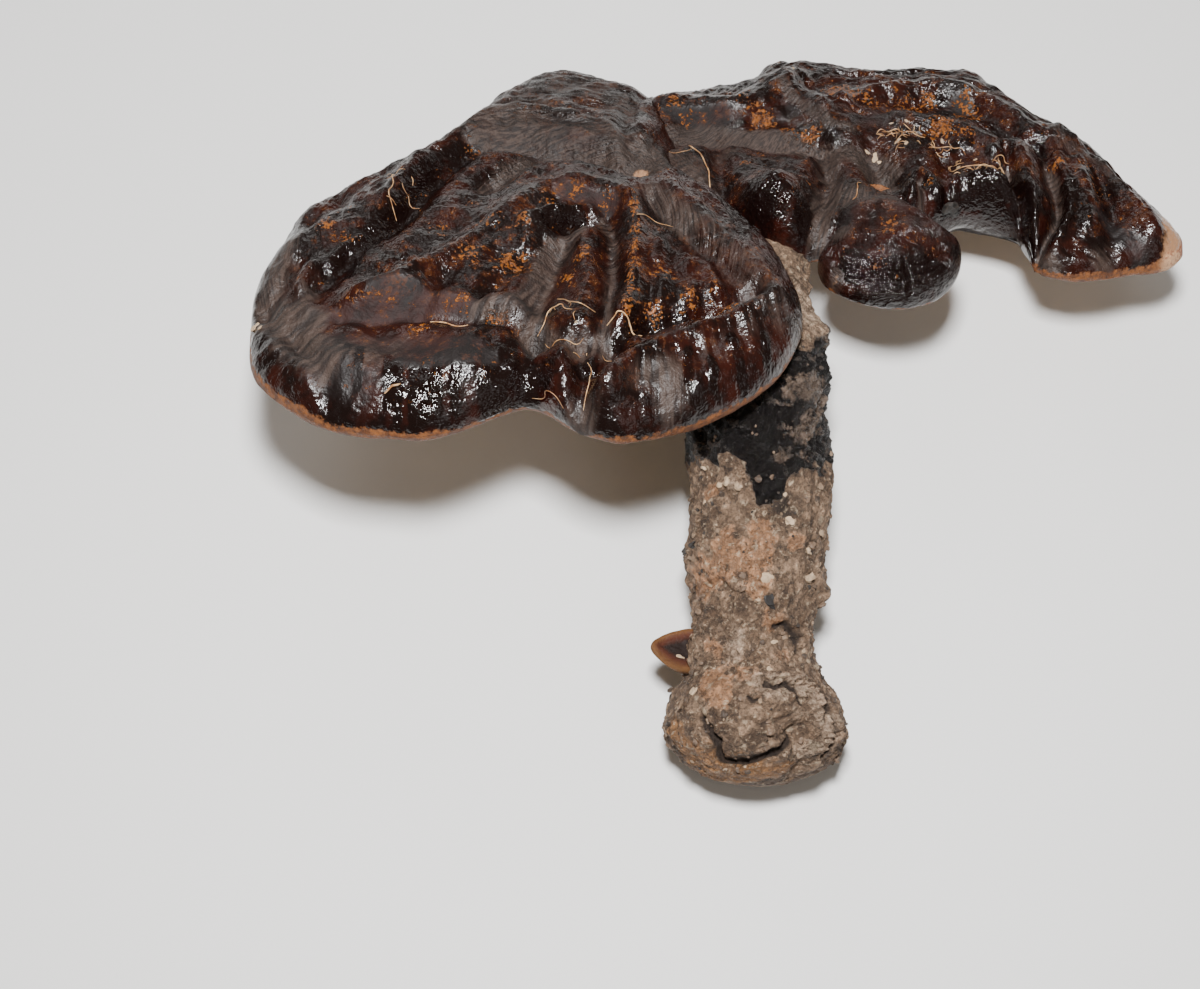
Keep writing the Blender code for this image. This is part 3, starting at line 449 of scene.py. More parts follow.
# Cracks and torn edges: height, half width, line of (along, degrees).
STEM_MARKS = (
    (-1.8, 3.2, ((-1, 128), (-8, 115), (-13, 112), (-12, 80), (-9, 62))),
    (-3.6, 0.9, ((0, 128), (-3, 122), (-6, 117), (-11, 118), (-11, 100), (-9, 85), (-8, 76), (-5, 67))),
    (1.6, 1.5, ((-3, 126), (-8, 122), (-14, 118), (-14, 100), (-12, 84), (-10, 72))),
    (-2.4, 0.7, ((9, 84), (8, 76), (9, 67), (7, 60), (4, 57))),
    (-2.0, 0.6, ((5.4, 99), (4.6, 94), (5.4, 90))),
    (1.9, 1.6, ((11, 100), (12, 84), (12.5, 66), (10, 45), (2, 33), (-6, 32), (-12, 45))),
    (-1.8, 0.9, ((10.5, 42), (3, 37), (-5, 38), (-10, 42))),
    (-1.6, 2.6, ((4, 88), (-1, 76), (-4, 62))),
    (-1.3, 0.6, ((0, 96), (-1, 84), (0, 74), (2, 62))),
    (-1.3, 0.6, ((-4, 90), (-4.5, 78), (-3, 66), (-1, 55))),
    (-2.2, 0.8, ((125, 100), (121, 80), (122, 60))),
    (-1.6, 0.7, ((122, 82), (114, 88), (110, 96))),
    (-2.0, 0.8, ((24, 75), (24.5, 62), (21, 48), (17, 44))),
    (1.3, 1.0, ((26, 78), (26, 62), (22, 46))),
    (-1.8, 1.0, ((34, 150), (36, 130), (33, 112))),
)
STEM_LUMPS = ((14.0, 1.5), (6.5, 0.7))
# Marks and cracks stray from their lines by this much, and a crack is a mark narrower than this; a crack's
# depth is kept as painted shade for the soil's colour.
STRAY_HEIGHT, STRAY_SIZE = 0.7, 5.0
CRACK_WIDTH = 1.0
# The lumps of crust and the grains on them, across, and how softly lacquer begins and ends.
CLOD_SIZE, GRAIN_SIZE = 3.4, 1.7
LACQUER_EASE = 0.8
# Layers of noise: height, size, shift.
LACQUER_WANDER = ((3.5, 14.0, 2.0), (3.0, 7.0, 8.0), (1.4, 3.0, 5.0))
BLOB_LAYERS = ((1.3, 9.0, 5.0), (0.9, 4.4, 1.0))
# The crumbly pale ring of torn tissue at the foot: half width, line of (along, degrees).
TORN_RING = (3.2, ((8.5, 84), (9.5, 68), (9, 54), (6, 44), (0.5, 42), (-3, 40), (-7, 45), (-9, 58)))
# Where the black lacquer begins, at each angle round the stem, and where it gives way to soil again.
LACQUER_START = ((0, 67), (34, 66.5), (56, 65), (70, 62), (80, 56.5), (92, 56), (98, 60), (106, 65),
                 (119, 69.5), (172, 68), (260, 66))
LACQUER_END = ((0, 109), (14, 110), (26, 105), (38, 100), (60, 98), (93, 100), (140, 104), (260, 104))
STEM_PAINTS = dict(
    pale=(((1.1, 3.4, TORN_RING[1]),), ((2, 62, 0.5, 5.0), (22, 105, 0.7, 4.5), (16, 113, 0.6, 4.0),
                                        (62, 116, 1.1, 2.0),
          (110, 40, 0.9, 9.0))),
    rind=(((1.3, 4.2, ((-4, 153), (-9, 145), (-13, 130), (-15, 112), (-15, 95), (-14.5, 80))),), ()),
    clay=((), ((9, 120, 1.1, 4.0), (6, 123, 1.0, 3.5), (19, 132, 0.9, 3.6), (41, 114, 1.2, 5.0),
               (41.5, 90, 1.1, 4.0), (34, 90, 0.9, 3.6), (25.5, 78, 0.9, 3.6), (36.5, 150, 1.1, 7.0),
               (16, 64, 0.7, 3.4), (50.5, 92, 1.1, 3.0), (46.5, 86, 1.0, 3.0), (46.5, 58, 1.1, 2.8),
               (60, 136, 0.9, 3.0), (12, 100, 0.7, 5.0), (48, 120, 0.7, 4.0))),
    soot=(((0.7, 3.0, ((60, 85), (56, 76), (52, 66))),),
          ((58, 60, 0.5, 5.0), (46, 110, 0.6, 3.0), (40, 120, 0.6, 2.4),
          (21, 50, 0.9, 3.0), (16, 66, 0.6, 3.0), (62, 140, 0.4, 5.0), (-3, 88, 0.35, 6.0))),
    wet=((), ((71, 100, 1.1, 4.0), (66, 94, 1.1, 4.0), (60, 85, 1.0, 3.4), (73, 82, 0.7, 4.0))),
    mud=((), ((88, 52, 1.0, 4.0), (86, 68, 0.7, 4.0), (74, 56, 0.7, 5.0), (68, 76, 1.0, 2.2),
              (79, 38, 0.6, 5.0), (84, 28, 0.8, 6.0), (104, 24, 0.8, 6.0), (72, 150, 0.5, 5.0))),
)

# Stones stuck to the stem: along, degrees round, half sizes, tone (1 pale tan, 0 black).
STONES = (
    (51.8, 64, (1.5, 1.2, 0.9), 0.95), (36.8, 84, (1.9, 1.6, 1.0), 1.0), (3.4, 146, (1.3, 2.1, 0.9), 0.55),
    (30.8, 79, (1.7, 2.3, 0.5), 0.0), (44.0, 42, (1.0, 1.4, 0.8), 0.9), (20.0, 73, (0.6, 1.0, 0.6), 0.95),
    (37.0, 40, (1.6, 1.2, 1.0), 0.75), (30.0, 20, (1.2, 1.0, 0.9), 0.45), (49.0, 28, (1.2, 1.0, 0.8), 0.7),
    (62.4, 118, (1.5, 1.1, 0.9), 0.8), (61.0, 110, (1.2, 1.0, 0.8), 0.7), (57, 141, (0.8, 0.6, 0.5), 0.9),
    (66.5, 145, (0.9, 0.8, 0.6), 0.9), (61.5, 127, (1.0, 0.8, 0.6), 0.95), (17.5, 38, (0.8, 0.9, 0.6), 0.8),
    (7.0, 137, (1.1, 1.4, 0.7), 0.9), (13.0, 80, (0.7, 0.7, 0.5), 0.85), (59.0, 72, (0.7, 0.6, 0.5), 0.9),
)
# Grit: count, chance that it lies on the lower stem, and the two stretches along the stem.
GRIT_COUNT = 520
GRIT_LOW_CHANCE = 0.85
GRIT_LOW, GRIT_HIGH = (-14, 62), (62, 122)
# Grit stays this far above the surface that the thing lies on.
GRIT_CLEAR = 1.5
# A thin dark plate that stands off the left side of the stem.
PLATE_PLACE = (45.0, 172.0)
PLATE_SIZE = (6.0, 1.2, 1.2)

# Rootlets and straws: half width, height above the skin at the points, then the points on the cap.
LARGE_ROOTLETS = (
    (0.17, (0.3, 1.2, 0.8, 0.3), ((-46, 8), (-46, 3), (-47, -1), (-45, -5))),
    (0.14, (0.2, 0.6, 0.9, 0.3), ((0, -46), (3, -50), (6, -53), (10, -53))),
    (0.16, (0.2, 0.9, 0.9, 0.2), ((-5, -56), (-2, -51), (1, -51), (4, -54))),
    (0.22, (0.2, 0.9, 1.1, 0.2), ((13, -56), (16, -55.5), (19, -57), (22, -60))),
    (0.11, (0.2, 0.8, 0.5, 0.1), ((21, -17), (24, -15), (28, -15), (31, -14))),
    (0.21, (0.3, 0.5, 0.4, 0.2), ((-33, -52), (-30, -53), (-27, -54.5), (-23, -54))),
    (0.14, (0.3, 0.6, 0.6, 0.2), ((-3, -58), (0, -60), (3, -61), (7, -60))),
    (0.14, (0.3, 0.5, 0.6, 0.3), ((8, -68), (8.5, -73), (8, -77), (7, -81))),
    (0.32, (0.4, 0.5, 0.4), ((-43, -79), (-41, -78), (-39, -77.5))),
    (0.10, (0.2, 0.7, 0.3), ((-6, -76), (-2, -80), (2, -82))),
)
RIGHT_ROOTLETS = (
    (0.20, (0.3, 1.0, 1.8, 2.0, 1.2, 0.4), ((-59, -6), (-59.5, -12), (-57, -17), (-55, -24), (-54.5, -31),
                                            (-54, -38))),
    (0.10, (0.4, 0.8, 0.3), ((-59.5, -12), (-62, -13), (-66, -12))),
    (0.16, (0.6, 1.8, 1.6, 0.5), ((-12, -29), (-13.5, -33), (-15, -37), (-17, -40))),
    (0.14, (0.3, 0.8, 0.8, 0.3), ((-4, -5), (0, -5.5), (4, -7), (8, -9.5))),
    (0.13, (0.3, 0.7, 0.6, 0.3), ((9, -11), (13, -12.5), (16, -13.5), (19, -16))),
    (0.15, (0.4, 1.0, 1.0, 0.4), ((14, -18), (17, -25), (21, -26), (26, -26.5))),
    (0.12, (0.3, 0.8, 0.3), ((26, -21), (29, -19.5), (31, -20.5))),
)
# How far a rootlet strays between its points, as a share of their distance.
CROOKEDNESS = 0.16
# Strewn short fibres: middle, spread to the right and up the cap, count.
LARGE_TANGLES = ((-45, 6, 2.2, 2.6, 7), (-1, -53, 2.5, 2.0, 3), (10, -63, 3.0, 2.0, 3))
RIGHT_TANGLES = ((-3, -6.4, 2.2, 1.0, 9), (3, -7, 2.0, 0.9, 8), (10.8, -12, 2.4, 0.9, 9),
                 (15.4, -19, 1.2, 1.2, 5), (19, -25.5, 1.8, 0.9, 6), (24, -26.5, 2.2, 0.8, 7),
                 (28, -21, 1.0, 1.6, 5), (1, -12, 2.0, 0.8, 4))
# Woody crumbs and flakes lying on the caps: place, half sizes, tone.
LARGE_CRUMBS = ((-80, -46, (1.5, 1.1, 0.6), 0.9), (-78, -49, (0.8, 0.7, 0.5), 0.7),
                (5, -58, (0.5, 0.4, 0.3), 0.8))
RIGHT_CRUMBS = (
    (-6.4, -12.4, (1.9, 1.0, 0.5), 0.95), (-8.8, -10.8, (1.4, 0.6, 0.4), 0.9),
    (-5.5, -14, (0.6, 1.3, 0.4), 0.9), (0, -10, (1.4, 0.6, 0.4), 0.8), (2.2, -11.6, (1.2, 0.7, 0.4), 0.85),
    (-1.5, -2.6, (1.2, 0.4, 0.3), 0.8), (3.3, -3.2, (1.0, 0.4, 0.3), 0.8), (13, -10, (0.9, 0.5, 0.3), 0.75),
    (21, -19, (1.5, 0.5, 0.35), 0.75), (16.5, -21, (1.1, 0.6, 0.35), 0.75),
    (12.5, -37, (2.6, 2.2, 2.0), 0.05), (-30.8, 27, (1.6, 0.5, 0.3), 0.9),
    (-28, 25.6, (1.1, 0.5, 0.3), 0.85),
)
BUD_CRUMBS = ((0.0, -2.0, (1.3, 0.7, 0.4), 0.95),)


# Curves through points

def smooth_value(points, x, column=1):
    """Value of a smooth curve through the points, whose first entry is the place along it."""
    last = len(points) - 1
    if x <= points[0][0]:
        return float(points[0][column])
    if x >= points[last][0]:
        return float(points[last][column])
    i = 0
    while points[i + 1][0] < x:
        i += 1
    before, start, end, after = points[max(i - 1, 0)], points[i], points[i + 1], points[min(i + 2, last)]
    span = end[0] - start[0]
    slope_start = (end[column] - before[column]) / (end[0] - before[0])
    slope_end = (after[column] - start[column]) / (after[0] - start[0])
    t = (x - start[0]) / span
    return ((2 * t ** 3 - 3 * t ** 2 + 1) * start[column] + (t ** 3 - 2 * t ** 2 + t) * span * slope_start
            + (3 * t ** 2 - 2 * t ** 3) * end[column] + (t ** 3 - t ** 2) * span * slope_end)


@functools.lru_cache(maxsize=None)
def curve_table(points, low, high, column):
    steps = np.linspace(low, high, CURVE_STEPS)
    return steps, np.array([smooth_value(points, float(x), column) for x in steps])


def curve_at(points, places, column=1):
    """The same curve read at many places at once."""
    return np.interp(places, *curve_table(points, points[0][0], points[-1][0], column))


def ring_at(points, degrees):
    """A closed ring of (degrees, value) points read at many angles."""
    ring = tuple((a - 360, v) for a, v in points) + points + tuple((a + 360, v) for a, v in points)
    return np.interp(degrees, *curve_table(ring, 0.0, 360.0, 1))


def line_distance(a, b, line):
    """Shortest distance from each place to a line drawn through several points."""
    nearest = np.full(np.shape(a), np.inf)
    for (a0, b0), (a1, b1) in zip(line, line[1:]):
        da, db = a1 - a0, b1 - b0
        t = np.clip(((a - a0) * da + (b - b0) * db) / (da * da + db * db), 0.0, 1.0)
        nearest = np.minimum(nearest, np.hypot(a - a0 - t * da, b - b0 - t * db))
    return nearest


def marks(a, b, strokes, spots=()):
    """Sum of the soft strokes and spots at each place."""
    total = np.zeros(np.shape(a))
    for rise, width, line in strokes:
        total += rise * np.exp(-(line_distance(a, b, line) / width) ** 2)
    for x, y, rise, radius in spots:
        total += rise * np.exp(-((a - x) ** 2 + (b - y) ** 2) / radius ** 2)
    return total


def cloud(places, size, shift=0.0):
    """Soft noise from -1 to 1 at each place, with lumps of the given size."""
    k = 2.0 / size
    return np.array([
        noise.noise((x * k + shift, y * k - shift, z * k + 0.5 * shift)) for x, y, z in places.tolist()
    ])


def crests(places, size, shift=0.0):
    """Sharp-crested noise around zero."""
    return 0.5 - np.abs(cloud(places, size, shift)) * 2.0


def layers(kind, places, table):
    """Sum of several layers of one kind of noise."""
    return sum(height * kind(places, size, shift) for height, size, shift in table)


# Caps

def cap_plane(cap):
    """The three ways of a cap's plane: across it, up it, and square to it."""
    lean = math.radians(cap["tilt"])
    across = np.array((1.0, 0.0, 0.0))
    back = np.array((0.0, math.cos(lean), -math.sin(lean)))
    square = np.array((0.0, math.sin(lean), math.cos(lean)))
    return across, back, square


def flat_places(cap, a, b):
    across, back, _ = cap_plane(cap)
    return np.array(cap["hub"]) + a[:, None] * across + b[:, None] * back


@functools.lru_cache(maxsize=None)
def outline_ring(outline):
    degrees = np.linspace(0.0, 360.0, OUTLINE_PIECES + 1)
    reach = ring_at(outline, degrees)
    return tuple(zip(reach * np.cos(np.radians(degrees)), reach * np.sin(np.radians(degrees))))


def cap_heights(cap, a, b, upper, at_rim):
    """Height off the cap's plane at places on it, and the facts that its finish reads."""
    degrees = np.degrees(np.arctan2(b, a)) % 360
    share = np.hypot(a, b) / ring_at(cap["outline"], degrees)
    inset = np.where(at_rim, 0.0, line_distance(a, b, outline_ring(cap["outline"])))
    inward = np.clip(inset / (ROLL_WIDTH * cap["roll"]), 0.0, 1.0)
    rounding = np.sqrt(1 - (1 - inward) ** 2)
    bulge = np.clip(1 - (a / cap["dome"][0]) ** 2 - (b / cap["dome"][1]) ** 2, 0.0, None)
    flat = flat_places(cap, a, b)
    fade = np.minimum(1.0, RIM_RELIEF + rounding)
    carved = marks(a, b, cap["strokes"], cap["spots"])
    # pleats run outwards over the front margin, growth lines run along the rim elsewhere
    out_a, out_b = a - cap["centre"][0], b - cap["centre"][1]
    away = np.hypot(out_a, out_b)
    heading = np.arctan2(out_b, out_a)
    wander = cloud(flat, 30.0, 7.0)
    outward = (np.cos(heading) * PLEAT_SPLIT, np.sin(heading) * PLEAT_SPLIT, away * PLEAT_DRIFT)
    outward = np.stack(outward, axis=1)
    grown = GROWN_SHARE * share + GROWN_AWAY * away + LINE_WANDER * wander
    along = np.stack((grown, np.cos(heading) * LINE_SPLIT, np.sin(heading) * LINE_SPLIT), axis=1)
    # behind the growth centre the lines bow round a point further forward
    rear_a, rear_b = a - cap["rear"][0], b - cap["rear"][1]
    bowed = np.arctan2(rear_b, rear_a)
    arcs = ARC_SPACING * np.hypot(rear_a, rear_b) + LINE_WANDER * wander
    arcs = np.stack((arcs, np.cos(bowed) * LINE_SPLIT, np.sin(bowed) * LINE_SPLIT), axis=1)
    behind = np.clip((b - cap["centre"][1] + BEHIND_FROM) / BEHIND_WIDTH, 0.0, 1.0)[:, None]
    along = along * (1 - behind) + arcs * behind
    front = 1 / (1 + np.exp((b - cap["front"] + FRONT_STRAY * cloud(flat, 18.0, 3.0)) / FRONT_EASE))
    ribs = layers(cloud, outward, PLEAT_LAYERS)
    rib_zone = cap["rib_zone"]
    ribs *= np.exp(-((inset - 0.50 * rib_zone) / (0.42 * rib_zone)) ** 2) * (0.25 + 0.75 * front)
    lines = layers(crests, along, LINE_LAYERS)
    peel = layers(cloud, flat, PEEL_LAYERS)
    near = np.clip(away / LINES_FADE, 0.2, 1.0)
    ripple = np.sin(inset * RIPPLE_RATE + 2.5 * wander) * np.exp(-inset / RIPPLE_FADE)
    top = (cap["roll"] + (cap["crown"] - cap["roll"]) * bulge) * rounding + carved * fade
    for size, rise in SKIN_LUMPS:
        top += rise * cloud(flat, size) * fade
    fine = cap["wrinkle"] * (lines * (1 - 0.7 * front) * near + PEEL_SHARE * peel)
    top += (fine + cap["ribs"] * ribs + RIPPLE_HEIGHT * ripple) * fade
    low = (cap["edge"] + (cap["belly"] - cap["edge"]) * bulge) * rounding - marks(a, b, (), cap["under"])
    _, _, square = cap_plane(cap)
    for size, rise in SKIN_LUMPS:
        low -= UNDER_SHARE * rise * cloud(flat + square * UNDER_SHIFT, size)
    low += 0.25 * cloud(flat, 6.0, 8.0) * rounding
    height = ring_at(cap["lift"], degrees) * share ** 2 + np.where(upper, top, -low)
    lip = np.where(upper, np.hypot(inset, top), -np.hypot(inset, low))
    return height, dict(inset=inset, lip=lip, carved=carved, front=front, outward=outward, along=along)


def drawn_aside(a, b, pulls):
    """Places of the disc after it has been drawn aside by the pulls."""
    shift_a, shift_b = np.zeros(np.shape(a)), np.zeros(np.shape(a))
    for near_a, near_b, pull_a, pull_b, radius in pulls:
        hold = np.exp(-((a - near_a) ** 2 + (b - near_b) ** 2) / radius ** 2)
        shift_a += pull_a * hold
        shift_b += pull_b * hold
    return a + shift_a, b + shift_b


def get_places(piece):
    places = np.empty(len(piece.data.vertices) * 3)
    piece.data.vertices.foreach_get("co", places)
    return places.reshape(-1, 3)


def set_places(piece, places):
    piece.data.vertices.foreach_set("co", places.ravel())
    piece.data.update()


def add_ball(name, segments, rings):
    """A grid rolled up into a ball, whose points are then moved by the shaping functions."""
    bpy.ops.object.select_all(action="DESELECT")
    bpy.ops.mesh.primitive_grid_add(x_subdivisions=segments, y_subdivisions=rings, size=2.0)
    piece = bpy.context.object
    piece.name = name
    piece.data.name = name
    sheet = get_places(piece)
    turn = (sheet[:, 0] + 1) * math.pi
    down = (1 - sheet[:, 1]) * math.pi / 2
    level = np.sin(down)
    set_places(piece, np.stack((level * np.cos(turn), level * np.sin(turn), np.cos(down)), axis=1))
    shape_by_hand(
        piece,
        lambda: bpy.ops.mesh.remove_doubles(threshold=WELD),
        lambda: bpy.ops.mesh.normals_make_consistent(inside=False),
        lambda: bpy.ops.mesh.faces_shade_smooth(),
    )
    ball = get_places(piece)
    turn = np.degrees(np.arctan2(ball[:, 1], ball[:, 0])) % 360
    down = np.arccos(np.clip(ball[:, 2], -1, 1)) / math.pi
    return piece, turn, down


def set_fact(piece, name, values):
    """A number kept on each point, for the finish to read."""
    fact = piece.data.attributes.new(name, "FLOAT", "POINT")
    fact.data.foreach_set("value", np.ascontiguousarray(values, dtype=np.float32))


def set_flow(piece, name, flow):
    """A way in which the skin grew, in metres, for streaks that follow it."""
    fact = piece.data.attributes.new(name, "FLOAT_VECTOR", "POINT")
    fact.data.foreach_set("vector", np.ascontiguousarray(flow * MM, dtype=np.float32).ravel())


def model_cap(name, cap, segments, rings, paints):
    piece, turn, down = add_ball(name, segments, rings)
    degrees = curve_at(cap["turns"], turn)
    upper = down <= UPPER_SHARE + 1e-6
    part = np.where(upper, down / UPPER_SHARE, (1 - down) / (1 - UPPER_SHARE))
    at_rim = np.abs(down - UPPER_SHARE) < 0.5 / rings
    share = (1 - RIM_CROWDING) * part + RIM_CROWDING * np.sin(part * math.pi / 2)
    reach = share * ring_at(cap["outline"], degrees)
    a = reach * np.cos(np.radians(degrees))
    b = reach * np.sin(np.radians(degrees))
    height, facts = cap_heights(cap, a, b, upper, at_rim)
    _, _, square = cap_plane(cap)
    places = flat_places(cap, *drawn_aside(a, b, cap["pulls"])) + height[:, None] * square
    places[:, 2] = np.maximum(places[:, 2], 0.0)
    set_places(piece, places * MM)
    for fact in ("outward", "along"):
        set_flow(piece, fact, facts[fact])
    for fact in ("inset", "lip", "front"):
        set_fact(piece, fact, facts[fact])
    set_fact(piece, "hollow", np.clip(-facts["carved"] / FULL_CARVING, 0.0, 1.0))
    set_fact(piece, "crest", np.clip(facts["carved"] / FULL_CARVING, 0.0, 1.0))
    for paint, (strokes, spots) in paints.items():
        set_fact(piece, paint, np.clip(marks(a, b, strokes, spots), -1.5, 1.5))
    return piece


def on_cap(cap, a, b, above=0.0):
    """The place on a cap's upper skin in metres, lifted off it by a little, and the way it faces."""
    spots_a = np.array([a, a + 0.5, a], dtype=float)
    spots_b = np.array([b, b, b + 0.5], dtype=float)
    height, _ = cap_heights(cap, spots_a, spots_b, np.full(3, True), np.full(3, False))
    _, _, square = cap_plane(cap)
    spots_a, spots_b = drawn_aside(spots_a, spots_b, cap["pulls"])
    places = flat_places(cap, spots_a, spots_b) + (height[:, None] + above) * square
    normal = Vector(np.cross(places[1] - places[0], places[2] - places[0])).normalized()
    return Vector(places[0] * MM), normal


# Stem

def cobbles(places, size):
    """Lumps packed side by side: how high each place stands on its lump, and the lump's own tone."""
    rise, tone = [], []
    for place in (places / size).tolist():
        gaps, middles = noise.voronoi(place)
        rise.append(gaps[1] - gaps[0])
        tone.append(noise.cell(middles[0] * 17.0))
    return np.array(rise), np.array(tone) % 1.0


def unrolled(line, radius):
    """A line of (along, degrees) laid out flat from a stem of this radius."""
    return tuple((place, math.radians(angle) * radius) for place, angle in line)


def stem_skin(along, degrees):
    """Places on the stem's skin in mm, and the facts that its finish reads."""
    slope = math.radians(STEM_SLOPE)
    forward = np.array((0.0, math.cos(slope), math.sin(slope)))
    upward = np.array((0.0, -math.sin(slope), math.cos(slope)))
    sideways = np.array((1.0, 0.0, 0.0))
    side, rise, radius = (curve_at(STEM_STATIONS, along, column) for column in (1, 2, 3))
    radius = np.maximum(0.0, radius)
    turn = np.radians(degrees)
    spine = np.array(STEM_ORIGIN) + along[:, None] * forward
    spine = spine + side[:, None] * sideways + rise[:, None] * upward
    outward = np.cos(turn)[:, None] * sideways + np.sin(turn)[:, None] * upward
    base = spine + outward * radius[:, None]
    skin = np.zeros(len(along))
    for spot_along, spot_degrees, height, size in STEM_SPOTS:
        gap = np.abs(degrees - spot_degrees)
        arc = np.radians(np.minimum(gap, 360 - gap)) * radius
        skin += height * np.exp(-((along - spot_along) ** 2 + arc ** 2) / size ** 2)
    # painted shade: how deep each narrow crack is, for the finish to darken it
    crack_shade = np.zeros(len(along))
    stray = STRAY_HEIGHT * cloud(base, STRAY_SIZE, 11.0)
    for height, width, line in STEM_MARKS:
        middle = smooth_value(STEM_STATIONS, sum(point[0] for point in line) / len(line), 3)
        away = line_distance(along + stray, turn * middle - stray, unrolled(line, middle))
        mark = height * np.exp(-(away / width) ** 2)
        skin += mark
        if width < CRACK_WIDTH and height < 0:
            crack_shade = np.maximum(crack_shade, -mark)
    for size, lump_rise in STEM_LUMPS:
        skin += lump_rise * cloud(base, size)
    wander = layers(cloud, base, LACQUER_WANDER)
    lacquer = 1 / (1 + np.exp(-(along - ring_at(LACQUER_START, degrees) + wander) / LACQUER_EASE))
    lacquer *= 1 / (1 + np.exp((along - ring_at(LACQUER_END, degrees) + wander) / LACQUER_EASE))
    lump, tone = cobbles(base + 0.8 * stray[:, None], CLOD_SIZE)
    grit, speckle = cobbles(base, GRAIN_SIZE)
    crust = 0.55 * cloud(base, 4.5, 3.0) + 0.9 * (lump - 0.4)
    crust += 0.55 * (grit - 0.4)
    crust += 0.25 * crests(base, 3.0, 4.0)
    blobs = layers(crests, base, BLOB_LAYERS) + 0.5 * cloud(base, 2.2, 6.0)
    skin += crust * (1 - 0.8 * lacquer) + (blobs + 0.5 * (lump - 0.4)) * lacquer
    middle = smooth_value(STEM_STATIONS, 0.0, 3)
    ring_width, ring = TORN_RING
    torn = np.exp(-(line_distance(along, turn * middle, unrolled(ring, middle)) / ring_width) ** 2)
    skin += torn * (0.6 + 1.7 * crests(base, 2.6, 3.0) + 1.3 * cloud(base, 1.6, 9.0))
    ending = np.minimum(1.0, radius / STEM_FULL_SKIN)
    places = spine + outward * (radius + skin * ending)[:, None]
    return places, dict(lacquer=lacquer, crack_shade=crack_shade, lump=lump, tone=tone, grit=grit, speckle=speckle)


def model_stem(name, segments, rings):
    piece, turn, down = add_ball(name, segments, rings)
    share = down - STEM_END_CROWDING * np.sin(2 * math.pi * down)
    first, last = STEM_STATIONS[0][0], STEM_STATIONS[-1][0]
    along = first + (last - first) * share
    places, facts = stem_skin(along, turn)
    places[:, 2] = np.maximum(places[:, 2], 0.0)
    set_places(piece, places * MM)
    for fact, values in facts.items():
        set_fact(piece, fact, values)

    def round_stem(x, angle):
        return x, math.radians(angle) * smooth_value(STEM_STATIONS, x, 3)

    arc = np.radians(turn) * curve_at(STEM_STATIONS, along, 3)
    for paint, (strokes, spots) in STEM_PAINTS.items():
        drawn = [(rise, width, [round_stem(*point) for point in line]) for rise, width, line in strokes]
        placed = [(*round_stem(x, angle), rise, radius) for x, angle, rise, radius in spots]
        set_fact(piece, paint, np.clip(marks(along, arc, drawn, placed), 0.0, 1.5))
    return piece


def on_stem(spots):
    """For each (along, degrees): the place on the stem's skin in metres, and the way it faces."""
    along = np.array([spot[0] for spot in spots], dtype=float)
    degrees = np.array([spot[1] for spot in spots], dtype=float) % 360
    here, _ = stem_skin(along, degrees)
    ahead, _ = stem_skin(along + 1.0, degrees)
    beside, _ = stem_skin(along, (degrees + 3.0) % 360)
    facing = np.cross(ahead - here, beside - here)
    return [(Vector(place * MM), -Vector(way).normalized()) for place, way in zip(here, facing)]


# Small loose things

def shape_by_hand(piece, *steps):
    """Runs edit-mode steps on the whole of a piece."""
    bpy.ops.object.select_all(action="DESELECT")
    piece.select_set(True)
    bpy.context.view_layer.objects.active = piece
    bpy.ops.object.mode_set(mode="EDIT")
    bpy.ops.mesh.select_all(action="SELECT")
    for step in steps:
        step()
    bpy.ops.object.mode_set(mode="OBJECT")


def model_stone(seed, flatness):
    """One stone or crumb, 1 mm across its half width, modelled round the origin."""
    bpy.ops.object.select_all(action="DESELECT")
    bpy.ops.mesh.primitive_ico_sphere_add(subdivisions=2, radius=MM)
    stone = bpy.context.object
    shape_by_hand(
        stone,
        lambda: bpy.ops.transform.vertex_random(offset=0.32 * MM, uniform=0.6, normal=0.6, seed=seed),
        lambda: bpy.ops.mesh.vertices_smooth(factor=0.15),
        lambda: bpy.ops.transform.resize(value=(1.0, 1.0, flatness)),
    )
    return stone


def lay(place, normal, spin, sizes, sink):
    """Matrix that lays a sample on a skin: its z along the normal, turned by spin, sunk in a little."""
    turn = normal.to_track_quat("Z", "Y").to_matrix().to_4x4()
    away = Matrix.Translation(place - normal * sink * MM)
    return away @ turn @ Matrix.Rotation(spin, 4, "Z") @ Matrix.Diagonal((*sizes, 1.0))


def spread(name, samples, laid):
    """Copies of the samples, each laid by its matrix and given its tone, joined into one piece."""
    body = bmesh.new()
    tone = body.verts.layers.float.new("tone")
    for number, (matrix, shade) in enumerate(laid):
        copy = samples[number % len(samples)].data.copy()
        copy.transform(matrix)
        start = len(body.verts)
        body.from_mesh(copy)
        body.verts.ensure_lookup_table()
        for point in body.verts[start:]:
            point[tone] = shade
        bpy.data.meshes.remove(copy)
    mesh = bpy.data.meshes.new(name)
    body.to_mesh(mesh)
    body.free()
    return add_object(name, mesh)


def add_object(name, data):
    made = bpy.data.objects.new(name, data)
    bpy.context.scene.collection.objects.link(made)
    return made


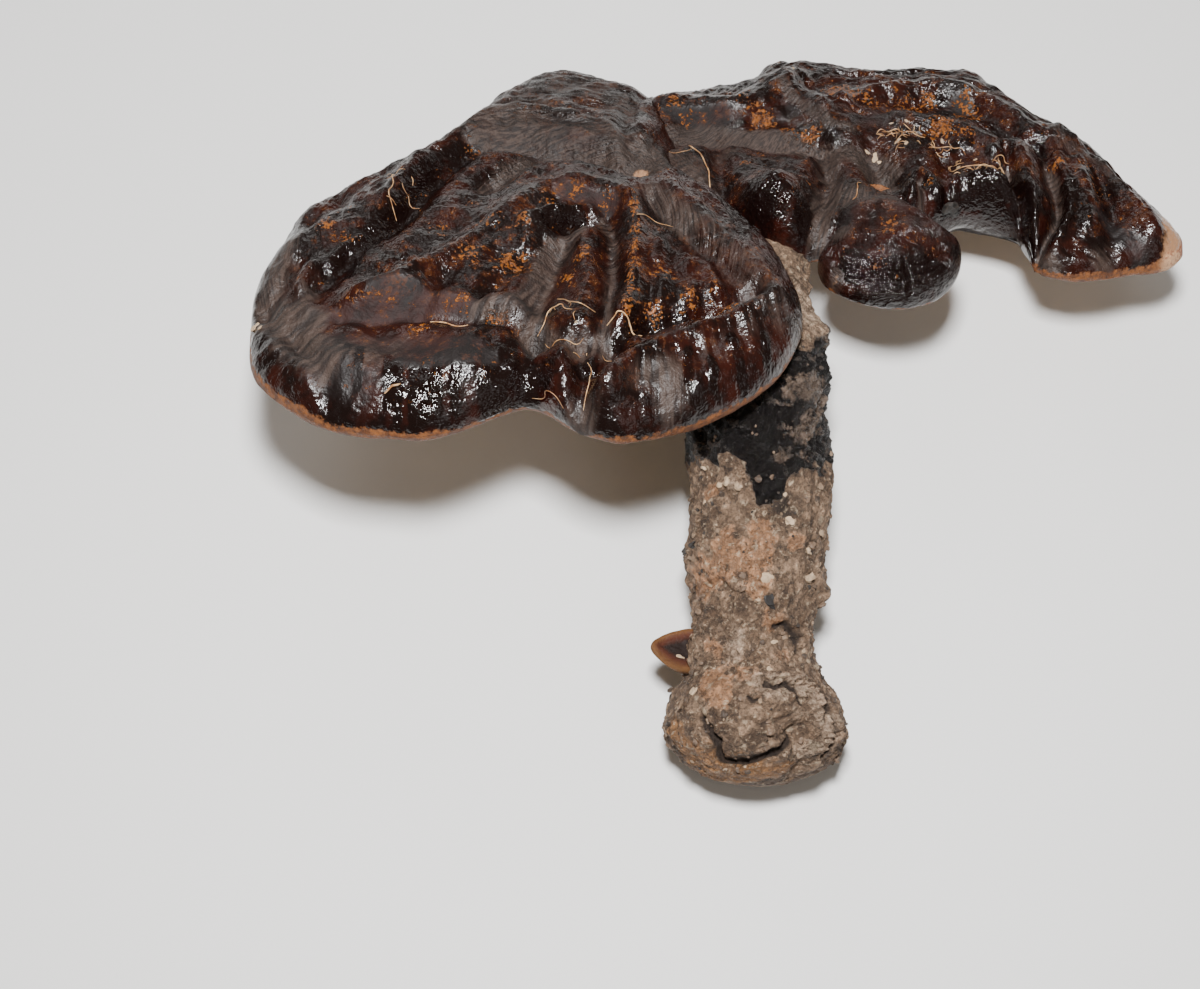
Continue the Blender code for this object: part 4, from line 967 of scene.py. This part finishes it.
def lay_threads(name, routes):
    """Thin rootlets laid along routes; each route is (half width, places), and thins out at its ends."""
    curve = bpy.data.curves.new(name + "_route", "CURVE")
    curve.dimensions = "3D"
    curve.bevel_depth = MM
    curve.bevel_resolution = 2
    curve.use_fill_caps = True
    for half_width, places in routes:
        spline = curve.splines.new("BEZIER")
        spline.bezier_points.add(len(places) - 1)
        spline.resolution_u = 6
        for number, (knot, place) in enumerate(zip(spline.bezier_points, places)):
            knot.co = place
            knot.handle_left_type = knot.handle_right_type = "AUTO"
            end = number in (0, len(places) - 1)
            knot.radius = half_width * (0.45 if end else 1.0 - 0.2 * (number % 2))
    laid = add_object(name + "_route", curve)
    mesh = bpy.data.meshes.new_from_object(laid.evaluated_get(bpy.context.evaluated_depsgraph_get()))
    mesh.name = name
    piece = add_object(name, mesh)
    bpy.data.objects.remove(laid, do_unlink=True)
    for face in mesh.polygons:
        face.use_smooth = True
    return piece


def cap_threads(cap, rootlets, draw):
    """Routes over a cap, each a little crooked between its points."""
    routes = []
    for half_width, lifts, points in rootlets:
        way = []
        for number, ((a, b), lift) in enumerate(zip(points, lifts)):
            way.append(on_cap(cap, a, b, lift)[0])
            if number + 1 < len(points):
                next_a, next_b = points[number + 1]
                bend = CROOKEDNESS * math.hypot(next_a - a, next_b - b)
                mid_a = (a + next_a) / 2 + draw.uniform(-bend, bend)
                mid_b = (b + next_b) / 2 + draw.uniform(-bend, bend)
                way.append(on_cap(cap, mid_a, mid_b, (lift + lifts[number + 1]) / 2)[0])
        routes.append((half_width, way))
    return routes


def tangle(cap, tangles, draw):
    """Many short fibres strewn round a few places of a cap."""
    routes = []
    for middle_a, middle_b, reach_a, reach_b, count in tangles:
        for _ in range(count):
            a = middle_a + draw.gauss(0, reach_a)
            b = middle_b + draw.gauss(0, reach_b)
            turn = draw.uniform(0, math.tau)
            length = draw.uniform(1.2, 3.8)
            bow = draw.uniform(-0.35, 0.35)
            way = []
            for step, lift in ((-0.5, 0.15), (0.0, 0.6), (0.5, 0.15)):
                side = bow * length * (1 - abs(2 * step))
                fibre_a = a + step * length * math.cos(turn) - side * math.sin(turn)
                fibre_b = b + step * length * math.sin(turn) + side * math.cos(turn)
                way.append(on_cap(cap, fibre_a, fibre_b, lift)[0])
            routes.append((draw.uniform(0.07, 0.17), way))
    return routes


# Finishes

class Finish:
    """The nodes of one material, built up with short calls. Sizes are millimetres."""

    def __init__(self, name, roughness=0.5, ior=1.5):
        self.material = bpy.data.materials.new(name)
        self.material.use_nodes = True
        self.tree = self.material.node_tree
        self.shader = self.tree.nodes["Principled BSDF"]
        self.shader.inputs["Roughness"].default_value = roughness
        self.shader.inputs["IOR"].default_value = ior
        self.normal = None
        self.place = self.add("ShaderNodeTexCoord").outputs["Object"]

    def add(self, kind, **settings):
        made = self.tree.nodes.new(kind)
        for name, value in settings.items():
            setattr(made, name, value)
        return made

    def feed(self, value, socket):
        if isinstance(value, bpy.types.NodeSocket):
            self.tree.links.new(value, socket)
        else:
            socket.default_value = value

    def fact(self, name):
        return self.add("ShaderNodeAttribute", attribute_name=name).outputs["Fac"]

    def flow(self, name):
        return self.add("ShaderNodeAttribute", attribute_name=name).outputs["Vector"]

    def grain(self, where, size, detail=3.0, roughness=0.55):
        made = self.add("ShaderNodeTexNoise")
        self.feed(where, made.inputs["Vector"])
        made.inputs["Scale"].default_value = 1 / (size * MM)
        made.inputs["Detail"].default_value = detail
        made.inputs["Roughness"].default_value = roughness
        return made.outputs["Fac"]

    def cells(self, where, size):
        made = self.add("ShaderNodeTexVoronoi", feature="F1")
        self.feed(where, made.inputs["Vector"])
        made.inputs["Scale"].default_value = 1 / (size * MM)
        return made.outputs["Distance"]

    def chain(self, operation, values):
        total = values[0]
        for value in values[1:]:
            made = self.add("ShaderNodeMath", operation=operation)
            self.feed(total, made.inputs[0])
            self.feed(value, made.inputs[1])
            total = made.outputs[0]
        return total

    def sum(self, *values):
        return self.chain("ADD", values)

    def times(self, *values):
        return self.chain("MULTIPLY", values)

    def weigh(self, *pairs):
        """Sum of values, each times its weight."""
        return self.sum(*(self.times(value, weight) for value, weight in pairs))

    def between(self, value, low, high, start=0.0, end=1.0):
        """Eases from start to end while the value goes from low to high."""
        made = self.add("ShaderNodeMapRange", interpolation_type="SMOOTHSTEP")
        self.feed(value, made.inputs["Value"])
        made.inputs["From Min"].default_value = low
        made.inputs["From Max"].default_value = high
        made.inputs["To Min"].default_value = start
        made.inputs["To Max"].default_value = end
        return made.outputs["Result"]

    def blend(self, mask, first, second):
        made = self.add("ShaderNodeMix", data_type="RGBA")
        self.feed(mask, made.inputs["Factor"])
        for value, socket in ((first, made.inputs[6]), (second, made.inputs[7])):
            self.feed(value if isinstance(value, bpy.types.NodeSocket) else (*value, 1.0), socket)
        return made.outputs[2]

    def mix(self, mask, first, second):
        """A plain number instead of a colour."""
        made = self.add("ShaderNodeMix", data_type="FLOAT")
        self.feed(mask, made.inputs["Factor"])
        self.feed(first, made.inputs[2])
        self.feed(second, made.inputs[3])
        return made.outputs[0]

    def raise_skin(self, height, depth):
        """One more layer of fine relief, from 0 to the depth."""
        made = self.add("ShaderNodeBump")
        made.inputs["Distance"].default_value = depth * MM
        self.feed(height, made.inputs["Height"])
        if self.normal is not None:
            self.feed(self.normal, made.inputs["Normal"])
        self.normal = made.outputs["Normal"]

    def done(self, colour, roughness=None):
        self.feed(colour, self.shader.inputs["Base Color"])
        if roughness is not None:
            self.feed(roughness, self.shader.inputs["Roughness"])
        if self.normal is not None:
            self.feed(self.normal, self.shader.inputs["Normal"])
        return self.material


def lacquer_finish(name):
    """Near-black oxblood lacquer, rusty where it is worn, dusty in the hollows, with painted grey sheen on
    some ridges and margins, orange-brown at the rim.
    """
    f = Finish(name, roughness=0.2, ior=1.46)
    front, inset, lip = f.fact("front"), f.fact("inset"), f.fact("lip")
    outward, along = f.flow("outward"), f.flow("along")
    streak = f.mix(front, f.grain(along, 1.5, 4), f.grain(outward, 2.6, 4))
    hair = f.mix(front, f.grain(along, 0.55, 3), f.grain(outward, 1.1, 3))
    broad = f.between(f.grain(f.place, 26, 2), 0.35, 0.65)
    patch = f.between(f.grain(f.place, 7, 4, 0.6), 0.35, 0.65)
    fleck = f.between(f.grain(f.place, 2.4, 4, 0.7), 0.36, 0.64)
    dot = f.between(f.grain(f.place, 0.9, 3, 0.6), 0.36, 0.64)
    gloss = f.between(f.weigh((f.fact("gloss"), 1.0), (fleck, 0.3)), 0.45, 0.95)

    # lacquer: black, oxblood, and brown flecks where it thins
    redness = f.weigh((streak, 0.5), (patch, 0.35), (broad, 0.3), (gloss, -0.3))
    colour = f.blend(f.between(redness, 0.35, 0.85), (0.0048, 0.0017, 0.0014), (0.021, 0.0040, 0.0022))
    brown = f.weigh((patch, 0.35), (fleck, 0.45), (dot, 0.2), (f.fact("crest"), 0.12))
    brown = f.times(f.between(brown, 0.60, 0.85), f.between(inset, 3.0, 11.0))
    brown = f.times(brown, f.between(gloss, 0.0, 1.0, 0.8, 0.0))
    colour = f.blend(brown, colour, (0.044, 0.0125, 0.0038))

    # granular rust where the lacquer is worn through
    worn = f.weigh((f.fact("rust"), 0.36), (fleck, 0.30), (dot, 0.34), (patch, 0.14))
    rust = f.times(f.between(worn, 0.66, 0.82), f.between(inset, 2.0, 8.0))
    granular = f.between(f.weigh((dot, 1.0), (fleck, 0.6)), 0.5, 1.35)
    colour = f.blend(rust, colour, f.blend(granular, (0.055, 0.0140, 0.0018), (0.225, 0.068, 0.0070)))

    # thin grey-brown dust in fine streaks; the same film is laid as painted sheen along the right cap's back
    # ridge and the large cap's right front margin
    film = f.weigh((f.fact("dust"), 0.62), (f.fact("hollow"), 0.16), (streak, 0.50), (hair, 0.35),
                   (patch, 0.10), (gloss, -0.40))
    dust = f.times(f.between(film, 0.62, 1.12), 0.88)
    dust_and_sheen_colour = f.blend(f.between(hair, 0.38, 0.62), (0.0150, 0.0095, 0.0078), (0.056, 0.037, 0.029))
    colour = f.blend(dust, colour, dust_and_sheen_colour)
    spot = f.between(f.weigh((f.fact("pale"), 1.0), (fleck, 0.2)), 0.6, 1.0, 0.0, 0.9)
    colour = f.blend(spot, colour, (0.36, 0.190, 0.100))

    # the rim, which the lacquer leaves bare below the edge, then the underside
    bare = f.sum(f.weigh((f.fact("rim"), 2.6), (f.fact("pale"), 4.0), (fleck, 0.9), (patch, 0.8)), -1.9)
    rim = f.between(f.sum(lip, f.times(bare, -1.0)), -0.5, 0.5, 1.0, 0.0)
    rim_colour = f.blend(fleck, (0.075, 0.023, 0.0060), (0.195, 0.066, 0.0150))
    ripe = f.between(f.weigh((patch, 1.0), (dot, 0.4)), 0.55, 1.0)
    pale_rim = f.blend(ripe, (0.50, 0.290, 0.160), (0.26, 0.085, 0.036))
    rim_colour = f.blend(f.between(f.fact("pale"), 0.3, 1.0), rim_colour, pale_rim)
    colour = f.blend(rim, colour, rim_colour)
    under = f.between(lip, -3.2, -5.2)
    pores = f.cells(f.place, 0.45)
    low_tone = f.between(f.grain(f.place, 14, 4, 0.6), 0.3, 0.7)
    low_tone = f.blend(low_tone, (0.22, 0.125, 0.062), (0.42, 0.290, 0.170))
    low_tone = f.blend(f.between(pores, 0.12, 0.35, 0.35, 0.0), low_tone, (0.075, 0.038, 0.019))
    low_tone = f.blend(f.between(inset, 2.0, 9.0, 0.6, 0.0), low_tone, (0.34, 0.150, 0.065))
    colour = f.blend(under, colour, low_tone)
    charred = f.between(f.fact("rim"), -0.2, -0.8)
    colour = f.blend(f.times(charred, f.between(lip, 2.5, 0.5)), colour, (0.014, 0.0080, 0.0070))

    dull = f.between(f.fact("dull"), 0.2, 0.9)
    gleam = f.mix(fleck, 0.12, 0.27)
    for mask, rough in ((gloss, 0.11), (rust, 0.36), (dust, 0.60), (dull, 0.78), (rim, 0.60), (under, 0.90)):
        gleam = f.mix(mask, gleam, rough)

    f.raise_skin(streak, 0.5)
    f.raise_skin(hair, 0.18)
    f.raise_skin(f.grain(f.place, 2.6, 3, 0.5), 0.5)
    f.raise_skin(f.times(f.grain(f.place, 1.3, 2), f.mix(gloss, 0.5, 0.8)), 0.34)
    f.raise_skin(f.times(rust, dot), 0.22)
    f.raise_skin(f.times(dot, f.sum(rim, dust)), 0.10)
    f.raise_skin(f.times(pores, under), 0.12)
    return f.done(colour, gleam)


def soil_finish(name):
    """Dried soil and clay on the stem, black lacquer above, torn pale tissue at the foot."""
    f = Finish(name, roughness=0.85, ior=1.45)
    lump = f.between(f.grain(f.place, 9, 5, 0.6), 0.35, 0.65)
    clod = f.between(f.grain(f.place, 3.2, 5, 0.65), 0.34, 0.66)
    speck = f.between(f.grain(f.place, 1.1, 4, 0.7), 0.34, 0.66)
    sand = f.grain(f.place, 0.45, 2)
    tone, speckle, grit = f.fact("tone"), f.fact("speckle"), f.fact("grit")
    lacquer = f.between(f.weigh((f.fact("lacquer"), 1.0), (clod, 0.25), (speck, 0.15)), 0.55, 0.85)

    # soil, its lumps each of their own tone
    shade = f.weigh((lump, 0.40), (clod, 0.35), (tone, 0.30), (speck, 0.15))
    colour = f.blend(f.between(shade, 0.25, 0.95), (0.120, 0.071, 0.042), (0.390, 0.250, 0.158))
    clay = f.weigh((f.fact("clay"), 1.0), (clod, 0.45), (tone, 0.25))
    pale = f.weigh((f.fact("pale"), 1.0), (clod, 0.40), (tone, 0.30))
    rind = f.weigh((f.fact("rind"), 1.0), (clod, 0.5))
    soot = f.weigh((f.fact("soot"), 1.0), (clod, 0.4))
    torn = f.blend(speck, (0.360, 0.235, 0.150), (0.700, 0.510, 0.370))
    for layer, low, high, strength, tint in (
            (clay, 0.75, 1.05, 0.8, (0.370, 0.178, 0.083)),
            (pale, 0.70, 1.25, 0.85, torn),
            (rind, 0.55, 1.10, 0.85, (0.385, 0.182, 0.067)),
            (soot, 0.55, 1.05, 0.85, (0.028, 0.021, 0.018)),
            (f.weigh((speckle, 1.0), (speck, 0.25)), 1.00, 1.08, 0.75, (0.480, 0.365, 0.250)),
            (f.weigh((speckle, 1.0), (speck, -0.20)), 0.04, -0.04, 0.75, (0.024, 0.015, 0.011)),
            (speck, 0.82, 0.98, 0.55, (0.450, 0.340, 0.235)),
            (speck, 0.22, 0.04, 0.60, (0.030, 0.018, 0.012)),
            # painted shade: darker in the sunk seams between the lumps and grains of crust
            (f.times(grit, f.fact("lump")), 0.10, 0.0, 0.45, (0.040, 0.026, 0.018)),
            # painted shade: the cracks darkened along their lines
            (f.fact("crack_shade"), 0.5, 1.8, 0.92, (0.022, 0.013, 0.009))):
        colour = f.blend(f.between(layer, low, high, 0.0, strength), colour, tint)
    clay = f.between(clay, 0.75, 1.05)

    # black lacquer with grey-brown soil stuck to it
    black = f.blend(speck, (0.0030, 0.0026, 0.0032), (0.014, 0.011, 0.010))
    dirt = f.between(f.weigh((clod, 0.5), (tone, 0.4), (lump, 0.2), (f.fact("wet"), -0.5)), 0.62, 0.90)
    black = f.blend(f.times(dirt, 0.72), black, (0.050, 0.037, 0.029))
    mud = f.between(f.weigh((f.fact("mud"), 1.0), (clod, 0.6), (speck, 0.25)), 0.75, 1.25)
    black = f.blend(f.times(mud, 0.9), black, f.blend(clod, (0.062, 0.045, 0.036), (0.170, 0.120, 0.088)))
    colour = f.blend(lacquer, colour, black)

    gleam = f.mix(f.weigh((clay, 1.0), (tone, 0.3)), 0.85, 0.45)
    gleam = f.mix(lacquer, gleam, f.mix(dirt, f.mix(clod, 0.08, 0.24), 0.58))
    f.raise_skin(f.times(f.fact("wet"), f.grain(f.place, 2.2, 3, 0.6)), 1.2)
    f.raise_skin(clod, 0.8)
    f.raise_skin(f.times(speck, f.between(clay, 0.0, 1.0, 1.0, 0.35)), 0.45)
    f.raise_skin(f.times(sand, f.between(lacquer, 0.0, 1.0, 1.0, 0.3)), 0.12)
    return f.done(colour, gleam)


def bud_finish(name):
    """Brown middle, tan to orange edge."""
    f = Finish(name, roughness=0.75, ior=1.35)
    speck = f.grain(f.place, 0.9, 3, 0.6)
    streak = f.grain(f.flow("along"), 1.2, 3)
    inset = f.weigh((f.fact("inset"), 1.0), (speck, -1.0), (streak, -0.8))
    colour = f.blend(f.between(inset, -1.0, 1.4), (0.150, 0.068, 0.024), (0.060, 0.016, 0.0075))
    colour = f.blend(f.between(inset, 1.2, 3.0), colour, (0.013, 0.0065, 0.0050))
    colour = f.blend(f.between(f.fact("lip"), -0.4, -1.2), colour,
                     f.blend(f.between(speck, 0.3, 0.7), (0.130, 0.062, 0.024), (0.210, 0.118, 0.056)))
    f.raise_skin(streak, 0.4)
    f.raise_skin(speck, 0.2)
    return f.done(colour, f.between(speck, 0.3, 0.7, 0.6, 0.85))


def stone_finish(name):
    """Stones and grit, from black through brown to pale tan by their own tone."""
    f = Finish(name, roughness=0.75)
    speck = f.grain(f.place, 0.7, 4, 0.65)
    shade = f.sum(f.fact("tone"), f.times(speck, 0.35), -0.17)
    colour = f.blend(f.between(shade, 0.0, 0.45), (0.012, 0.010, 0.009), (0.135, 0.085, 0.054))
    colour = f.blend(f.between(shade, 0.45, 0.95), colour, (0.43, 0.310, 0.200))
    f.raise_skin(speck, 0.15)
    return f.done(colour, f.between(speck, 0.3, 0.7, 0.5, 0.85))


def rootlet_finish(name):
    """Dry straw-coloured rootlets, darker in places."""
    f = Finish(name, roughness=0.55)
    tone = f.grain(f.place, 2.5, 3)
    fibre = f.grain(f.place, 0.35, 2)
    colour = f.blend(f.between(tone, 0.35, 0.65), (0.26, 0.115, 0.042), (0.56, 0.350, 0.180))
    f.raise_skin(fibre, 0.06)
    return f.done(colour, f.between(fibre, 0.3, 0.7, 0.4, 0.7))


def floor_finish(name):
    f = Finish(name, roughness=0.6)
    tone = f.grain(f.place, 60, 3)
    return f.done(f.blend(tone, (0.79, 0.785, 0.775), (0.81, 0.805, 0.795)))


# The pieces

def add_detail(piece, material):
    """A small piece that stands for nothing and rides along."""
    piece.data.materials.clear()
    piece.data.materials.append(material)
    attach(piece, "root")


def dress(piece, node, material):
    """A piece that stands in for a node, whose own part is then hidden."""
    add_detail(piece, material)
    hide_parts(node)


def make_caps():
    for node, cap, mesh, paints, finish in (
            ("cap_large", LARGE, LOBE_MESH, LARGE_PAINTS, lacquer_finish("large_cap_lacquer")),
            ("cap_right", RIGHT, LOBE_MESH, RIGHT_PAINTS, lacquer_finish("right_cap_lacquer")),
            ("cap_small", SMALL, SMALL_MESH, SMALL_PAINTS, lacquer_finish("small_cap_lacquer")),
            ("bud", BUD, BUD_MESH, {}, bud_finish("bud_skin_finish"))):
        dress(model_cap(node + "_skin", cap, *mesh, paints), node, finish)


def make_stem():
    """The stem, the stones and grit stuck to it, and the crumbs that lie on the caps."""
    dress(model_stem("stem_crust", *STEM_MESH), "stem", soil_finish("stem_soil"))
    draw = random.Random(7)
    stones = [model_stone(3, 0.8), model_stone(5, 0.7), model_stone(11, 0.6)]
    gritty = stone_finish("stone_and_grit")
    laid = []
    for (place, normal), (_, _, sizes, tone) in zip(on_stem(STONES), STONES):
        laid.append((lay(place, normal, draw.uniform(0, math.tau), sizes, 0.35 * sizes[2]), tone))
    add_detail(spread("stem_stones", stones, laid), gritty)
    spots = []
    for _ in range(GRIT_COUNT):
        stretch = GRIT_LOW if draw.random() < GRIT_LOW_CHANCE else GRIT_HIGH
        spots.append((draw.uniform(*stretch), draw.uniform(0, 360)))
    laid = []
    for place, normal in on_stem(spots):
        size = 0.35 + 0.75 * draw.random() ** 2.5
        sizes = (size, size * draw.uniform(0.6, 1.0), size * draw.uniform(0.5, 0.9))
        if place.z > GRIT_CLEAR * MM:
            matrix = lay(place, normal, draw.uniform(0, math.tau), sizes, 0.3 * size)
            laid.append((matrix, draw.uniform(0.05, 0.68)))
    add_detail(spread("stem_grit", stones, laid), gritty)
    (place, normal), = on_stem((PLATE_PLACE,))
    matrix = lay(place, normal, math.radians(90), PLATE_SIZE, -0.6)
    add_detail(spread("stem_plate", stones[2:], [(matrix, 0.05)]), gritty)
    for cap, slot, crumbs in ((LARGE, "cap_large", LARGE_CRUMBS), (RIGHT, "cap_right", RIGHT_CRUMBS),
                              (BUD, "bud", BUD_CRUMBS)):
        laid = []
        for a, b, sizes, tone in crumbs:
            place, normal = on_cap(cap, a, b)
            laid.append((lay(place, normal, draw.uniform(0, math.tau), sizes, 0.1), tone))
        add_detail(spread(slot + "_crumbs", stones, laid), gritty)
    for stone in stones:
        bpy.data.objects.remove(stone, do_unlink=True)


def make_rootlets():
    draw = random.Random(21)
    straw = rootlet_finish("dry_rootlet")
    on_large = cap_threads(LARGE, LARGE_ROOTLETS, draw) + tangle(LARGE, LARGE_TANGLES, draw)
    on_right = cap_threads(RIGHT, RIGHT_ROOTLETS, draw) + tangle(RIGHT, RIGHT_TANGLES, draw)
    add_detail(lay_threads("rootlets_on_large_cap", on_large), straw)
    add_detail(lay_threads("rootlets_on_right_cap", on_right), straw)


# The room

def look_from(thing, place, aim):
    """Puts a light or the camera in its place, facing the aim."""
    thing.location = place
    thing.rotation_euler = (Vector(aim) - Vector(place)).to_track_quat("-Z", "Y").to_euler()


def add_soft_light(name, place, size, power):
    lamp = bpy.data.lights.new(name, "AREA")
    lamp.shape = "SQUARE"
    lamp.size = size
    lamp.energy = power
    look_from(add_object(name, lamp), place, LIGHT_AIM)


def set_the_room():
    bpy.ops.object.select_all(action="DESELECT")
    bpy.ops.mesh.primitive_plane_add(size=FLOOR_SIZE)
    floor = bpy.context.object
    floor.name = "floor"
    floor.data.materials.append(floor_finish("pale_floor"))
    for light in LIGHTS:
        add_soft_light(*light)
    world = bpy.data.worlds.new("room")
    world.use_nodes = True
    background = world.node_tree.nodes["Background"]
    background.inputs["Color"].default_value = ROOM_COLOUR
    background.inputs["Strength"].default_value = ROOM_LIGHT
    bpy.context.scene.world = world
    camera = add_object("camera", bpy.data.cameras.new("camera"))
    camera.data.lens = CAMERA_LENS
    look_from(camera, CAMERA_PLACE, CAMERA_AIM)
    bpy.context.scene.camera = camera


set_the_room()
make_caps()
make_stem()
make_rootlets()
